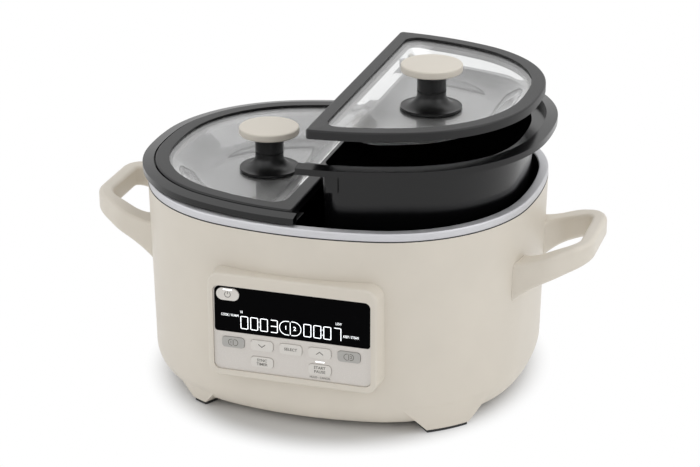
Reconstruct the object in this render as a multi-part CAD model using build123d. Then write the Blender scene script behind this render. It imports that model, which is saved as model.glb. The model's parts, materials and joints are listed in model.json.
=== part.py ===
from build123d import *
import os
from math import atan2, cos, degrees, radians, sin, sqrt, tan

# Slow cooker with two half-oval pots in one oval heated body.
# Millimetres, +Z up, long axis along X, control panel facing -Y.
# The origin lies on the table under the middle of the oval body.
# The left pot is seated with its lid on, the right pot and its lid are lifted.

# Body oval at the trim seam: two half sizes and the three arc radii
BODY_HALF_LENGTH = 176.0
BODY_HALF_DEPTH = 160.5
BODY_FRONT_RADIUS = 335.0
BODY_END_RADIUS = 320.0
BODY_CORNER_RADIUS = 134.0

# Oval of the pot rims
RIM_HALF_LENGTH = 184.0
RIM_HALF_DEPTH = 157.6
RIM_FRONT_RADIUS = 262.0
RIM_END_RADIUS = 300.0
RIM_CORNER_RADIUS = 136.0

# General fits
RUN_GAP = 0.3
SCREW_GAP = 0.2

# Housing shell
BODY_BOTTOM_Z = 4.5
SEAM_Z = 182.5
WALL = 3.0
BODY_DRAFT_INSET = 4.0
BOTTOM_ROUND = 26.0
COLLAR_DEPTH = 10.0
COLLAR_RISE = 4.0
COLLAR_WALL = 2.7

# Trim ring and heating well
RING_TOP_Z = 190.0
RING_WIDTH = 8.5
RING_WALL = 3.0
RING_EDGE_ROUND = 2.2
WELL_WALL = 1.2
WELL_FLOOR_Z = 60.0
WELL_TAPER_INSET = 8.0

# Feet and bottom cover
FOOT_PAD_HEIGHT = 3.0
FOOT_WIDTH = 24.0
FOOT_FLARE_ANGLE = 45.0
LEFT_FOOT_ANGLE = 61.5
LEFT_FOOT_LENGTH = 16.0
LEFT_FOOT_TUCK = 7.0
RIGHT_FOOT_ANGLE = 48.0
RIGHT_FOOT_LENGTH = 41.0
RIGHT_FOOT_TUCK = 2.0
PAD_MARGIN = 1.0
COVER_LENGTH = 208.0
COVER_DEPTH = 236.0
COVER_CORNER = 30.0
COVER_THICKNESS = 1.6
COVER_LAP = 9.0
COVER_SCREW_R = 2.0
COVER_SCREW_HEAD_R = 4.0
COVER_SCREW_HEAD = 1.4
COVER_VENT_LENGTH = 60.0
COVER_VENT_WIDTH = 4.0
COVER_VENT_PITCH = 7.0
COVER_VENTS = 5

# Heaters, sensors and heat shield below the well
HEATER_THICKNESS = 8.0
HEATER_INSET = 45.0
HEATER_MIDDLE_GAP = 26.0
HEATER_CORNER = 22.0
ZONE_X = 75.5
STUD_Y = 60.0
STUD_R = 2.5
SPACER_R = 5.0
NUT_R = 5.0
NUT_HEIGHT = 3.5
STUD_TAIL = 1.5
SENSOR_R = 7.0
SENSOR_GUIDE_R = 4.0
SHIELD_Z = 40.0
SHIELD_THICKNESS = 1.2
SHIELD_INSET = 32.0
FUSE_LENGTH = 16.0
FUSE_WIDTH = 6.0
FUSE_HEIGHT = 4.0
FUSE_X = 104.0
FUSE_Y = -36.0

# Power board on the bottom cover
POWER_BOARD_LENGTH = 124.0
POWER_BOARD_DEPTH = 90.0
POWER_BOARD_Y = -20.0
BOARD_THICKNESS = 1.6
POST_R = 4.0
POST_HEIGHT = 12.0
POST_EDGE = 7.0
RELAY_LENGTH = 20.0
RELAY_DEPTH = 16.0
PART_HEIGHT = 13.0
RELAY_PITCH = 30.0
TRANSFORMER_LENGTH = 30.0
TRANSFORMER_DEPTH = 26.0

# Control panel, measured along X and Z, its face towards -Y
PANEL_FRONT_Y = -168.2
PANEL_HALF_WIDTH = 75.5
PANEL_LOW_Z = 49.0
PANEL_HIGH_Z = 144.5
PANEL_CORNER = 11.0
PANEL_FLARE = 1.5
PANEL_EDGE_ROUND = 2.5
PANEL_BACK_Y = -146.0
POCKET_HALF_WIDTH = 70.5
POCKET_LOW_Z = 55.2
POCKET_HIGH_Z = 133.6
POCKET_CORNER = 6.0
POCKET_DEPTH = 1.6
WINDOW_MARGIN = 1.2
WINDOW_LOW_Z = 90.8
WINDOW_CORNER = 5.0
WINDOW_LOW_CORNER = 2.6
FACE_THICKNESS = 2.5
FACE_GAP = 0.2
WEB_THICKNESS = 2.0
PANEL_WALL = 3.0
CHEST_MARGIN = 5.0

# Buttons
BUTTON_WIDTH = 20.0
BUTTON_HEIGHT = 9.6
BUTTON_CORNER = 3.0
BUTTON_PITCH = 25.9
BUTTON_CENTRE_X = -0.9
BUTTON_ROW_1_Z = 81.3
BUTTON_ROW_2_Z = 65.8
BUTTON_PROUD = 1.0
BUTTON_SKIN = 2.7
BUTTON_TRAVEL = 0.5
BUTTON_STEM_R = 2.4
POWER_BUTTON_X = -57.0
POWER_BUTTON_Z = 125.6
POWER_BUTTON_WIDTH = 20.4
POWER_BUTTON_HEIGHT = 11.0
BUTTON_SIDE_GAP = 0.25
SWITCH_WIDTH = 6.0
SWITCH_HEIGHT = 3.4
LIGHT_WIDTH = 8.2
LIGHT_HEIGHT = 1.2
LIGHT_ABOVE_START = 7.0
LIGHT_ABOVE_POWER = 4.4
LIGHT_DEPTH = 1.0

# Display module and control board behind the panel
MODULE_WIDTH = 110.0
MODULE_HEIGHT = 31.0
MODULE_X = 9.0
MODULE_Z = 112.5
CONTROL_GAP = 3.6
CONTROL_MARGIN = 4.5
CONTROL_CORNER = 1.0
BOSS_R = 3.0
BOARD_SCREW_R = 1.5
BOARD_SCREW_HEAD_R = 2.6
BOARD_SCREW_HEAD = 1.5
CABLE_WIDTH = 24.0
CABLE_THICKNESS = 1.0
CABLE_DROP_Y = -147.0

# Cord gland in the back wall
GLAND_Z = 40.0
GLAND_R = 9.0
GLAND_NECK_R = 6.0
GLAND_BORE_R = 4.0
GLAND_BACK_Y = 168.2

# Handles
HANDLE_REACH = 231.0
HANDLE_ROOT_HALF = 64.5
HANDLE_MIDDLE_HALF = 61.5
HANDLE_MIDDLE_X = 200.0
HANDLE_CORNER_HALF = 42.0
HANDLE_LEG = 12.6
HANDLE_GRIP = 13.0
HANDLE_CORNER = 32.0
HANDLE_HOLE_X = 165.0
HANDLE_HOLE_ROUND = 13.0
HANDLE_ROOT_ROUND = 22.0
HANDLE_EDGE_ROUND = 4.0
HANDLE_ROOT_X = 150.0
HANDLE_TOP_ROOT_Z = 141.0
HANDLE_TOP_GRIP_Z = 156.0
HANDLE_LOW_ROOT_Z = 88.0
HANDLE_LOW_GRIP_Z = 138.5
HANDLE_BEND_X = 178.0
HANDLE_LOW_BEND_Z = 112.5
HANDLE_SCREW_Y = 56.5
HANDLE_SCREW_Z = 122.0
HANDLE_SCREW_R = 2.0
HANDLE_SCREW_HEAD_R = 4.0
HANDLE_SCREW_HEAD = 2.4
HANDLE_SCREW_GRIP = 7.0

# Pots
POT_WALL = 3.0
POT_FLOOR = 4.0
POT_BOTTOM_Z = 62.0
POT_RIM_WIDTH = 20.0
POT_TAPER_INSET = 7.0
POT_MIDDLE_X = 13.5
POT_CORNER = 16.0
POT_FLOOR_ROUND = 10.0
EAR_END_X = 1.0
EAR_HALF_WIDTH_CUT = 128.0
LEDGE_THICKNESS = 2.0
LIP_WIDTH = 10.0
LIP_OUTER_RISE = 7.0
LIP_INNER_RISE = 8.6
LIP_SEAT_INSET = 5.0
LIP_SHADOW_GAP = 1.4
LUG_WIDTH = 10.0
LUG_DEPTH = 2.4
LUG_HEIGHT = 19.0
LUG_X = 27.0
END_LUG_Y = 25.0
END_LUG_HEIGHT = 11.0
RIGHT_POT_LIFT = 45.6

# Lids
LID_GAP = 1.5
LID_MIDDLE_X = 6.0
LID_CORNER = 4.0
LID_FRAME_HEIGHT = 8.0
LID_FRAME_LAP = 1.0
LID_EDGE_ROUND = 1.8
SKIRT_GAP = 0.5
SKIRT_WALL = 2.4
SKIRT_DROP = 3.0
GLASS_THICKNESS = 4.0
GLASS_BITE = 9.5
GLASS_RECESS = 2.0
DISH_GAP = 0.5
DISH_RUN = 24.0
DISH_DEPTH = 20.0
DISH_CORNER = 14.0
DISH_LOW_CORNER = 8.0
RIGHT_LID_LIFT = 73.2

# Knobs
KNOB_R = 27.3
KNOB_CAP_HEIGHT = 7.0
KNOB_CAP_ROUND = 1.6
KNOB_BASE_R = 27.2
KNOB_BASE_EDGE = 2.0
KNOB_STEM_R = 12.9
KNOB_FLARE_HEIGHT = 11.5
KNOB_FLARE_WAIST = 4.4
KNOB_FLARE_RISE = 2.9
KNOB_STEM_HEIGHT = 33.5
KNOB_GROOVE_Z = 16.0
KNOB_GROOVE = 1.0
KNOB_SPIGOT_R = 6.0
KNOB_SPIGOT = 3.0
WASHER_THICKNESS = 1.0
WASHER_R = 23.0
KNOB_SCREW_R = 2.5
KNOB_SCREW_HEAD_R = 6.0
KNOB_SCREW_HEAD = 3.0
KNOB_SCREW_GRIP = 18.0

# Steam vents
VENT_Y = 98.0
VENT_DROP = 8.1
VENT_R = 3.6
VENT_BORE_R = 1.8
VENT_FLANGE_R = 5.0
VENT_FLANGE = 1.2
VENT_TAIL = 6.0

# Values that follow from the sizes above
BODY_SIZES = (BODY_HALF_LENGTH, BODY_HALF_DEPTH, BODY_FRONT_RADIUS, BODY_END_RADIUS, BODY_CORNER_RADIUS)
RIM_SIZES = (RIM_HALF_LENGTH, RIM_HALF_DEPTH, RIM_FRONT_RADIUS, RIM_END_RADIUS, RIM_CORNER_RADIUS)
LEDGE_Z = RING_TOP_Z + LEDGE_THICKNESS
LID_TOP_Z = LEDGE_Z + LID_FRAME_HEIGHT
LID_INSET = LIP_WIDTH + LID_GAP
GLASS_TOP_Z = LID_TOP_Z - GLASS_RECESS
DISH_Z = GLASS_TOP_Z - DISH_DEPTH
DISH_SLOPE = degrees(atan2(DISH_DEPTH, DISH_RUN))
DISH_SIDE = GLASS_THICKNESS / sin(radians(DISH_SLOPE))
DISH_UNDER_START = SKIRT_GAP + SKIRT_WALL + DISH_GAP
DISH_START = DISH_UNDER_START + DISH_SIDE - GLASS_THICKNESS * DISH_RUN / DISH_DEPTH
MOUTH_CORNER = POT_CORNER - POT_WALL
HANDLE_SCREW_END = BODY_HALF_LENGTH + HANDLE_SCREW_GRIP
FACE_FRONT_Y = PANEL_FRONT_Y + POCKET_DEPTH
FACE_BACK_Y = FACE_FRONT_Y + FACE_THICKNESS
WEB_BACK_Y = FACE_BACK_Y + WEB_THICKNESS
CONTROL_Y = WEB_BACK_Y + CONTROL_GAP
CONTROL_BACK_Y = CONTROL_Y + BOARD_THICKNESS
SWITCH_FRONT_Y = CONTROL_Y - SWITCH_HEIGHT
HEATER_TOP_Z = WELL_FLOOR_Z - WELL_WALL
HEATER_BOTTOM_Z = HEATER_TOP_Z - HEATER_THICKNESS
SHIELD_TOP_Z = SHIELD_Z + SHIELD_THICKNESS
POWER_BOARD_Z = BODY_BOTTOM_Z + POST_HEIGHT
POWER_BOARD_TOP_Z = POWER_BOARD_Z + BOARD_THICKNESS
FAR = 400.0
STANDING = (Align.CENTER, Align.CENTER, Align.MIN)
HANGING = (Align.CENTER, Align.CENTER, Align.MAX)


def arc_centres(half_length, half_depth, front_radius, end_radius, corner_radius):
    """Centres of the back, end and corner arcs of a cushion oval."""
    back_centre = Vector(0, half_depth - front_radius)
    end_centre = Vector(half_length - end_radius, 0)
    reach_back = front_radius - corner_radius
    reach_end = end_radius - corner_radius
    span = end_centre - back_centre
    along = (reach_back**2 - reach_end**2 + span.length**2) / (2 * span.length)
    aside = sqrt(reach_back**2 - along**2)
    unit = span.normalized()
    return back_centre, end_centre, back_centre + unit * along + Vector(unit.Y, -unit.X) * aside


def oval(half_length, half_depth, front_radius, end_radius, corner_radius):
    """Flat cushion oval of eight tangent arcs."""
    sizes = (half_length, half_depth, front_radius, end_radius, corner_radius)
    back_centre, end_centre, corner = arc_centres(*sizes)
    end_angle = atan2(corner.Y - end_centre.Y, corner.X - end_centre.X)
    back_angle = atan2(corner.Y - back_centre.Y, corner.X - back_centre.X)
    middle_angle = (end_angle + back_angle) / 2
    start = end_centre + Vector(cos(end_angle), sin(end_angle)) * end_radius
    middle = corner + Vector(cos(middle_angle), sin(middle_angle)) * corner_radius
    finish = back_centre + Vector(cos(back_angle), sin(back_angle)) * front_radius

    def at(point, side, face):
        return (point.X * side, point.Y * face)

    edges = [ThreePointArc(at(start, 1, -1), (half_length, 0), at(start, 1, 1))]
    edges += [ThreePointArc(at(start, 1, 1), at(middle, 1, 1), at(finish, 1, 1))]
    edges += [ThreePointArc(at(finish, 1, 1), (0, half_depth), at(finish, -1, 1))]
    edges += [ThreePointArc(at(finish, -1, 1), at(middle, -1, 1), at(start, -1, 1))]
    edges += [ThreePointArc(at(start, -1, 1), (-half_length, 0), at(start, -1, -1))]
    edges += [ThreePointArc(at(start, -1, -1), at(middle, -1, -1), at(finish, -1, -1))]
    edges += [ThreePointArc(at(finish, -1, -1), (0, -half_depth), at(finish, 1, -1))]
    edges += [ThreePointArc(at(finish, 1, -1), at(middle, 1, -1), at(start, 1, -1))]
    return make_face(edges)


def body_oval(inset=0.0):
    """Body oval drawn in by an even inset."""
    return oval(*[size - inset for size in BODY_SIZES])


def rim_oval(inset=0.0):
    """Rim oval drawn in by an even inset."""
    return oval(*[size - inset for size in RIM_SIZES])


def half_rim(inset, middle_x, corner=0.0):
    """Right half of the rim oval from middle_x outwards, with rounded inner corners."""
    keep = Pos(middle_x + FAR / 2, 0) * Rectangle(FAR, FAR)
    half = rim_oval(inset) & keep
    if corner > 0:
        corners = half.vertices().filter_by_position(Axis.X, middle_x - 0.01, middle_x + 0.01)
        half = fillet(corners, corner)
    return half


def plate(face, low, high):
    """Upright prism of a flat outline between two heights."""
    return extrude(Pos(0, 0, low) * face, high - low, dir=(0, 0, 1))


def frustum(low_face, low, high_face, high):
    """Straight-sided solid between two outlines."""
    return loft([Pos(0, 0, low) * low_face, Pos(0, 0, high) * high_face], ruled=True)


def panel_plate(face, front, back):
    """Prism of an outline drawn in X and Z, from a front Y to a back Y."""
    upright = Location((0, front, 0), (90, 0, 0)) * face
    return extrude(upright, back - front, dir=(0, 1, 0))


def rod(radius, low, high, x=0.0, y=0.0):
    """Upright round bar."""
    return Pos(x, y, low) * Cylinder(radius, high - low, align=STANDING)


def rod_y(radius, front, back, x, z):
    """Round bar along Y."""
    bar = Cylinder(radius, back - front, align=STANDING)
    return Location((x, front, z), (-90, 0, 0)) * bar


def rod_x(radius, left, right, y, z):
    """Round bar along X."""
    bar = Cylinder(radius, right - left, align=STANDING)
    return Location((left, y, z), (0, 90, 0)) * bar


def block(x, y, z, length, depth, height):
    """Box by its middle in X and Y and its underside in Z."""
    return Pos(x, y, z) * Box(length, depth, height, align=STANDING)


def both_sides(shape):
    """The shape and its mirror image across the middle plane."""
    return [shape, mirror(shape, about=Plane.YZ)]


def wall_inset(z):
    """How far the drafted outside wall has drawn in at a height."""
    return BODY_DRAFT_INSET * (SEAM_Z - z) / (SEAM_Z - BODY_BOTTOM_Z)


def body_volume(inset):
    """Outside of the housing drawn in by an inset: drafted oval with a rounded lower edge."""
    prism = frustum(body_oval(inset + BODY_DRAFT_INSET), BODY_BOTTOM_Z + inset, body_oval(inset), SEAM_Z)
    return fillet(prism.faces().sort_by(Axis.Z)[0].edges(), BOTTOM_ROUND - inset)


def button_places():
    """Name, X and Z of each push button."""
    names = ("zone_1_button", "down_button", "select_button", "up_button", "zone_2_button")
    middle = (len(names) - 1) / 2
    places = []
    for i, name in enumerate(names):
        places.append((name, BUTTON_CENTRE_X + (i - middle) * BUTTON_PITCH, BUTTON_ROW_1_Z))
    places.append(("sync_button", BUTTON_CENTRE_X - BUTTON_PITCH, BUTTON_ROW_2_Z))
    places.append(("start_button", BUTTON_CENTRE_X + BUTTON_PITCH, BUTTON_ROW_2_Z))
    return places


def button_outline(extra=0.0):
    """Rounded outline of a push button."""
    return RectangleRounded(BUTTON_WIDTH + 2 * extra, BUTTON_HEIGHT + 2 * extra, BUTTON_CORNER + extra)


def power_outline(extra=0.0):
    """Oval outline of the power button."""
    return SlotOverall(POWER_BUTTON_WIDTH + 2 * extra, POWER_BUTTON_HEIGHT + 2 * extra)


def foot_places():
    """Where the middle of each foot meets the outside wall, turned along the wall, with its length and tuck."""
    centre = arc_centres(*BODY_SIZES)[2]
    reach = BODY_CORNER_RADIUS - BODY_DRAFT_INSET
    left = (-1, LEFT_FOOT_ANGLE, LEFT_FOOT_LENGTH, LEFT_FOOT_TUCK)
    right = (1, RIGHT_FOOT_ANGLE, RIGHT_FOOT_LENGTH, RIGHT_FOOT_TUCK)
    places = []
    for side, angle, length, tuck in (left, right):
        x = centre.X + reach * cos(radians(angle))
        y = centre.Y + reach * sin(radians(angle))
        for face in (-1, 1):
            place = Location((side * x, face * y, 0), (0, 0, side * face * (angle - 90)))
            places.append((place, length, tuck))
    return places


def cover_screw_places():
    """X and Y of the bottom cover's screws."""
    x = COVER_LENGTH / 2 - COVER_LAP / 2
    y = COVER_DEPTH / 2 - COVER_LAP / 2
    return [(sx * x, sy * (y - COVER_CORNER)) for sx in (-1, 1) for sy in (-1, 1)]


def post_places():
    """X and Y of the posts under the power board."""
    x = POWER_BOARD_LENGTH / 2 - POST_EDGE
    y = POWER_BOARD_DEPTH / 2 - POST_EDGE
    return [(sx * x, POWER_BOARD_Y + sy * y) for sx in (-1, 1) for sy in (-1, 1)]


def boss_places():
    """X and Z of the bosses that carry the control board."""
    x = POCKET_HALF_WIDTH - CONTROL_MARGIN - BOSS_R - 1
    low = POCKET_LOW_Z + CONTROL_MARGIN + BOSS_R + 1
    high = WINDOW_LOW_Z + BOSS_R
    return [(sx * x, z) for sx in (-1, 1) for z in (low, high)]


def stud_places():
    """X and Y of the heater studs."""
    return [(sx * ZONE_X, sy * STUD_Y) for sx in (-1, 1) for sy in (-1, 1)]


outside = body_volume(0.0)


def make_housing():
    shell = outside - body_volume(WALL)
    collar = plate(body_oval(WALL / 2) - body_oval(WALL + COLLAR_WALL), SEAM_Z - COLLAR_DEPTH, SEAM_Z)
    tongue = plate(body_oval(WALL + RUN_GAP) - body_oval(WALL + COLLAR_WALL), SEAM_Z, SEAM_Z + COLLAR_RISE)
    shell = shell + collar + tongue
    window = pocket_outline(PANEL_WALL, PANEL_WALL)
    shell = shell - panel_plate(window, PANEL_FRONT_Y, PANEL_BACK_Y + CHEST_MARGIN)
    opening = RectangleRounded(COVER_LENGTH - 2 * COVER_LAP, COVER_DEPTH - 2 * COVER_LAP, COVER_CORNER)
    shell = shell - plate(opening, 0, BODY_BOTTOM_Z + WALL + 1)
    for x, y in cover_screw_places():
        shell = shell - rod(COVER_SCREW_R + SCREW_GAP, 0, BODY_BOTTOM_Z + WALL + 1, x, y)
    shell = shell - rod_y(GLAND_NECK_R + SCREW_GAP, BODY_HALF_DEPTH / 2, FAR, 0, GLAND_Z)
    for y in (-HANDLE_SCREW_Y, HANDLE_SCREW_Y):
        shell = shell - rod_x(HANDLE_SCREW_R + SCREW_GAP, -FAR, FAR, y, HANDLE_SCREW_Z)
    return shell


def make_trim_ring():
    skirt = plate(body_oval() - body_oval(RING_WALL), SEAM_Z, RING_TOP_Z)
    top_low = SEAM_Z + COLLAR_RISE + WELL_WALL
    ring = skirt + plate(body_oval() - body_oval(RING_WIDTH), top_low, RING_TOP_Z)
    top_face = ring.faces().sort_by(Axis.Z)[-1]
    outer = top_face.outer_wire().edges()
    return fillet(outer, RING_EDGE_ROUND)


def make_heating_well():
    flange_low = SEAM_Z + COLLAR_RISE
    flange_high = flange_low + WELL_WALL
    flange = plate(body_oval(RING_WALL + RUN_GAP), flange_low, flange_high)
    inner_top = RING_WIDTH
    inner_low = RING_WIDTH + WELL_TAPER_INSET
    cup_low = body_oval(inner_low - WELL_WALL)
    cup = frustum(cup_low, WELL_FLOOR_Z - WELL_WALL, body_oval(inner_top - WELL_WALL), flange_high)
    hollow = frustum(body_oval(inner_low), WELL_FLOOR_Z, body_oval(inner_top), flange_high)
    return flange + cup - hollow


def make_foot(place, length, tuck):
    """Foot that carries the outside wall down past the rounded edge, flared upwards along it."""
    top = BODY_BOTTOM_Z + BOTTOM_ROUND
    rise = top - FOOT_PAD_HEIGHT
    flare = rise * tan(radians(FOOT_FLARE_ANGLE))
    low = Rectangle(length, 2 * FOOT_WIDTH)
    high = Rectangle(length + 2 * flare, 2 * FOOT_WIDTH)
    leg = frustum(low, FOOT_PAD_HEIGHT, high, top)
    tucked = body_oval(wall_inset(FOOT_PAD_HEIGHT) + tuck)
    wall = frustum(tucked, FOOT_PAD_HEIGHT, body_oval(wall_inset(top)), top)
    return (place * leg & wall) - outside


def make_foot_pad(place, length, tuck):
    outline = Rectangle(length - 2 * PAD_MARGIN, 2 * (FOOT_WIDTH - PAD_MARGIN))
    edge = wall_inset(FOOT_PAD_HEIGHT) + tuck + PAD_MARGIN
    return place * plate(outline, 0, FOOT_PAD_HEIGHT) & plate(body_oval(edge), 0, FOOT_PAD_HEIGHT)


def make_bottom_cover():
    outline = RectangleRounded(COVER_LENGTH, COVER_DEPTH, COVER_CORNER)
    cover = plate(outline, BODY_BOTTOM_Z - COVER_THICKNESS, BODY_BOTTOM_Z)
    for x, y in post_places():
        cover = cover + rod(POST_R, BODY_BOTTOM_Z, POWER_BOARD_Z, x, y)
    for x, y in cover_screw_places():
        cover = cover - rod(COVER_SCREW_R + SCREW_GAP, 0, FAR, x, y)
    for i in range(COVER_VENTS):
        place = Pos(0, COVER_DEPTH / 2 - COVER_CORNER - i * COVER_VENT_PITCH, 0)
        slot = SlotOverall(COVER_VENT_LENGTH, COVER_VENT_WIDTH)
        cover = cover - place * plate(slot, 0, BODY_BOTTOM_Z + 1)
    return cover


def make_cover_screw(x, y):
    head_top = BODY_BOTTOM_Z - COVER_THICKNESS
    head = rod(COVER_SCREW_HEAD_R, head_top - COVER_SCREW_HEAD, head_top, x, y)
    return head + rod(COVER_SCREW_R, head_top, BODY_BOTTOM_Z + WALL, x, y)


def make_heater():
    outline = half_rim(HEATER_INSET, HEATER_MIDDLE_GAP, HEATER_CORNER)
    heater = plate(outline, HEATER_BOTTOM_Z, HEATER_TOP_Z)
    heater = heater - rod(SENSOR_R + RUN_GAP, 0, FAR, ZONE_X)
    for y in (-STUD_Y, STUD_Y):
        heater = heater - rod(STUD_R + SCREW_GAP, 0, FAR, ZONE_X, y)
    return heater


def make_heater_stud(x, y):
    stud = rod(STUD_R, SHIELD_Z - NUT_HEIGHT - STUD_TAIL, HEATER_TOP_Z, x, y)
    stud = stud + rod(SPACER_R, SHIELD_TOP_Z, HEATER_BOTTOM_Z, x, y)
    nut = Pos(x, y) * RegularPolygon(NUT_R, 6)
    return stud + plate(nut, SHIELD_Z - NUT_HEIGHT, SHIELD_Z)


def make_sensor():
    capsule = rod(SENSOR_R, HEATER_BOTTOM_Z, HEATER_TOP_Z, ZONE_X)
    return capsule + rod(SENSOR_GUIDE_R, SHIELD_TOP_Z, HEATER_BOTTOM_Z, ZONE_X)


def make_heat_shield():
    shield = plate(body_oval(SHIELD_INSET), SHIELD_Z, SHIELD_TOP_Z)
    for x, y in stud_places():
        shield = shield - rod(STUD_R + SCREW_GAP, 0, FAR, x, y)
    return shield


def make_fuse():
    return block(FUSE_X, FUSE_Y, HEATER_BOTTOM_Z - FUSE_HEIGHT, FUSE_LENGTH, FUSE_WIDTH, FUSE_HEIGHT)


def make_power_board():
    return block(0, POWER_BOARD_Y, POWER_BOARD_Z, POWER_BOARD_LENGTH, POWER_BOARD_DEPTH, BOARD_THICKNESS)


def make_relay(side):
    x = side * RELAY_PITCH / 2 - RELAY_PITCH
    return block(x, POWER_BOARD_Y, POWER_BOARD_TOP_Z, RELAY_LENGTH, RELAY_DEPTH, PART_HEIGHT)


def make_transformer():
    sizes = (TRANSFORMER_LENGTH, TRANSFORMER_DEPTH, PART_HEIGHT)
    return block(RELAY_PITCH, POWER_BOARD_Y, POWER_BOARD_TOP_Z, *sizes)


def panel_rectangle(half_width, low, high, corner):
    """Rounded outline centred on X, between two heights."""
    return Pos(0, (low + high) / 2) * RectangleRounded(2 * half_width, high - low, corner)


def pocket_outline(inset, corner):
    """Outline of the panel's pocket drawn in by an inset."""
    return panel_rectangle(POCKET_HALF_WIDTH - inset, POCKET_LOW_Z + inset, POCKET_HIGH_Z - inset, corner)


def make_panel_frame():
    front = panel_rectangle(PANEL_HALF_WIDTH, PANEL_LOW_Z, PANEL_HIGH_Z, PANEL_CORNER)
    back = panel_rectangle(
        PANEL_HALF_WIDTH + PANEL_FLARE,
        PANEL_LOW_Z - PANEL_FLARE,
        PANEL_HIGH_Z + PANEL_FLARE,
        PANEL_CORNER + PANEL_FLARE,
    )
    upright = Location((0, PANEL_FRONT_Y, 0), (90, 0, 0))
    rear = Location((0, PANEL_BACK_Y, 0), (90, 0, 0))
    frame = loft([upright * front, rear * back], ruled=True)
    face = frame.faces().sort_by(Axis.Y)[0]
    frame = fillet(face.outer_wire().edges(), PANEL_EDGE_ROUND)
    frame = frame - panel_plate(pocket_outline(0, POCKET_CORNER), PANEL_FRONT_Y - 1, FACE_BACK_Y)
    frame = frame - panel_plate(pocket_outline(PANEL_WALL, PANEL_WALL), WEB_BACK_Y, PANEL_BACK_Y + 1)
    for _, x, z in button_places() + [("power_button", POWER_BUTTON_X, POWER_BUTTON_Z)]:
        frame = frame - rod_y(BUTTON_STEM_R + RUN_GAP, FACE_BACK_Y - 1, WEB_BACK_Y + 1, x, z)
    module_hole = Rectangle(MODULE_WIDTH + 2 * RUN_GAP, MODULE_HEIGHT + 2 * RUN_GAP)
    frame = frame - panel_plate(Pos(MODULE_X, MODULE_Z) * module_hole, FACE_BACK_Y - 1, WEB_BACK_Y + 1)
    frame = frame - outside
    for x, z in boss_places():
        frame = frame + rod_y(BOSS_R, WEB_BACK_Y, CONTROL_Y, x, z)
        frame = frame - rod_y(BOARD_SCREW_R + SCREW_GAP, WEB_BACK_Y, CONTROL_Y, x, z)
    return frame


def window_outline(extra=0):
    """Outline of the window: wide upper corners, small lower ones."""
    half_width = POCKET_HALF_WIDTH - WINDOW_MARGIN + extra
    low = WINDOW_LOW_Z - extra
    high = POCKET_HIGH_Z - WINDOW_MARGIN + extra
    upper = panel_rectangle(half_width, low, high, WINDOW_CORNER + extra)
    return upper + panel_rectangle(half_width, low, (low + high) / 2, WINDOW_LOW_CORNER + extra)


def make_fascia():
    outline = pocket_outline(FACE_GAP, POCKET_CORNER)
    fascia = panel_plate(outline - window_outline(FACE_GAP), FACE_FRONT_Y, FACE_BACK_Y)
    for _, x, z in button_places():
        hole = Pos(x, z) * button_outline(BUTTON_SIDE_GAP)
        fascia = fascia - panel_plate(hole, PANEL_FRONT_Y, WEB_BACK_Y)
    return fascia - make_start_light()


def make_display_window():
    window = panel_plate(window_outline(), FACE_FRONT_Y, FACE_BACK_Y)
    hole = Pos(POWER_BUTTON_X, POWER_BUTTON_Z) * power_outline(BUTTON_SIDE_GAP)
    return window - panel_plate(hole, PANEL_FRONT_Y, WEB_BACK_Y)


def light_outline():
    """Rounded bar outline of an indicator lens."""
    return SlotOverall(LIGHT_WIDTH, LIGHT_HEIGHT)


def make_start_light():
    _, x, z = button_places()[-1]
    outline = Pos(x, z + LIGHT_ABOVE_START) * light_outline()
    return panel_plate(outline, FACE_FRONT_Y, FACE_FRONT_Y + LIGHT_DEPTH)


def make_power_light():
    front = FACE_FRONT_Y - BUTTON_PROUD
    outline = Pos(POWER_BUTTON_X, POWER_BUTTON_Z + LIGHT_ABOVE_POWER) * light_outline()
    return panel_plate(outline, front, front + LIGHT_DEPTH)


def make_button(x, z, outline):
    front = FACE_FRONT_Y - BUTTON_PROUD
    cap = panel_plate(Pos(x, z) * outline, front, front + BUTTON_SKIN)
    stem_end = SWITCH_FRONT_Y - BUTTON_TRAVEL - SCREW_GAP
    return cap + rod_y(BUTTON_STEM_R, front + BUTTON_SKIN, stem_end, x, z)


def make_switch(x, z):
    body = Pos(x, z) * Rectangle(SWITCH_WIDTH, SWITCH_WIDTH)
    return panel_plate(body, SWITCH_FRONT_Y, CONTROL_Y)


def make_display_module():
    outline = Pos(MODULE_X, MODULE_Z) * Rectangle(MODULE_WIDTH, MODULE_HEIGHT)
    return panel_plate(outline, FACE_BACK_Y, CONTROL_Y)


def make_control_board():
    board = panel_plate(pocket_outline(CONTROL_MARGIN, CONTROL_CORNER), CONTROL_Y, CONTROL_BACK_Y)
    for x, z in boss_places():
        board = board - rod_y(BOARD_SCREW_R + SCREW_GAP, CONTROL_Y - 1, CONTROL_BACK_Y + 1, x, z)
    return board


def make_board_screw(x, z):
    head = rod_y(BOARD_SCREW_HEAD_R, CONTROL_BACK_Y, CONTROL_BACK_Y + BOARD_SCREW_HEAD, x, z)
    return head + rod_y(BOARD_SCREW_R, WEB_BACK_Y, CONTROL_BACK_Y, x, z)


def make_panel_cable():
    half = CABLE_THICKNESS / 2
    start_y = CONTROL_BACK_Y + half
    top_z = POCKET_LOW_Z + 4 * CONTROL_MARGIN
    rest_z = POWER_BOARD_TOP_Z + half
    board_edge_y = POWER_BOARD_Y - POWER_BOARD_DEPTH / 2
    route = Polyline(
        (start_y, top_z),
        (start_y, POCKET_LOW_Z + 2 * CONTROL_MARGIN),
        (CABLE_DROP_Y, POCKET_LOW_Z),
        (CABLE_DROP_Y, rest_z + CABLE_WIDTH / 2),
        (CABLE_DROP_Y + CABLE_WIDTH / 2, rest_z),
        (board_edge_y + CABLE_WIDTH / 2, rest_z),
    )
    band = trace(route, CABLE_THICKNESS)
    upright = Location((-CABLE_WIDTH / 2, 0, 0), (0, 0, 0)) * Plane.YZ.location * band
    return extrude(upright, CABLE_WIDTH, dir=(1, 0, 0))


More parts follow.
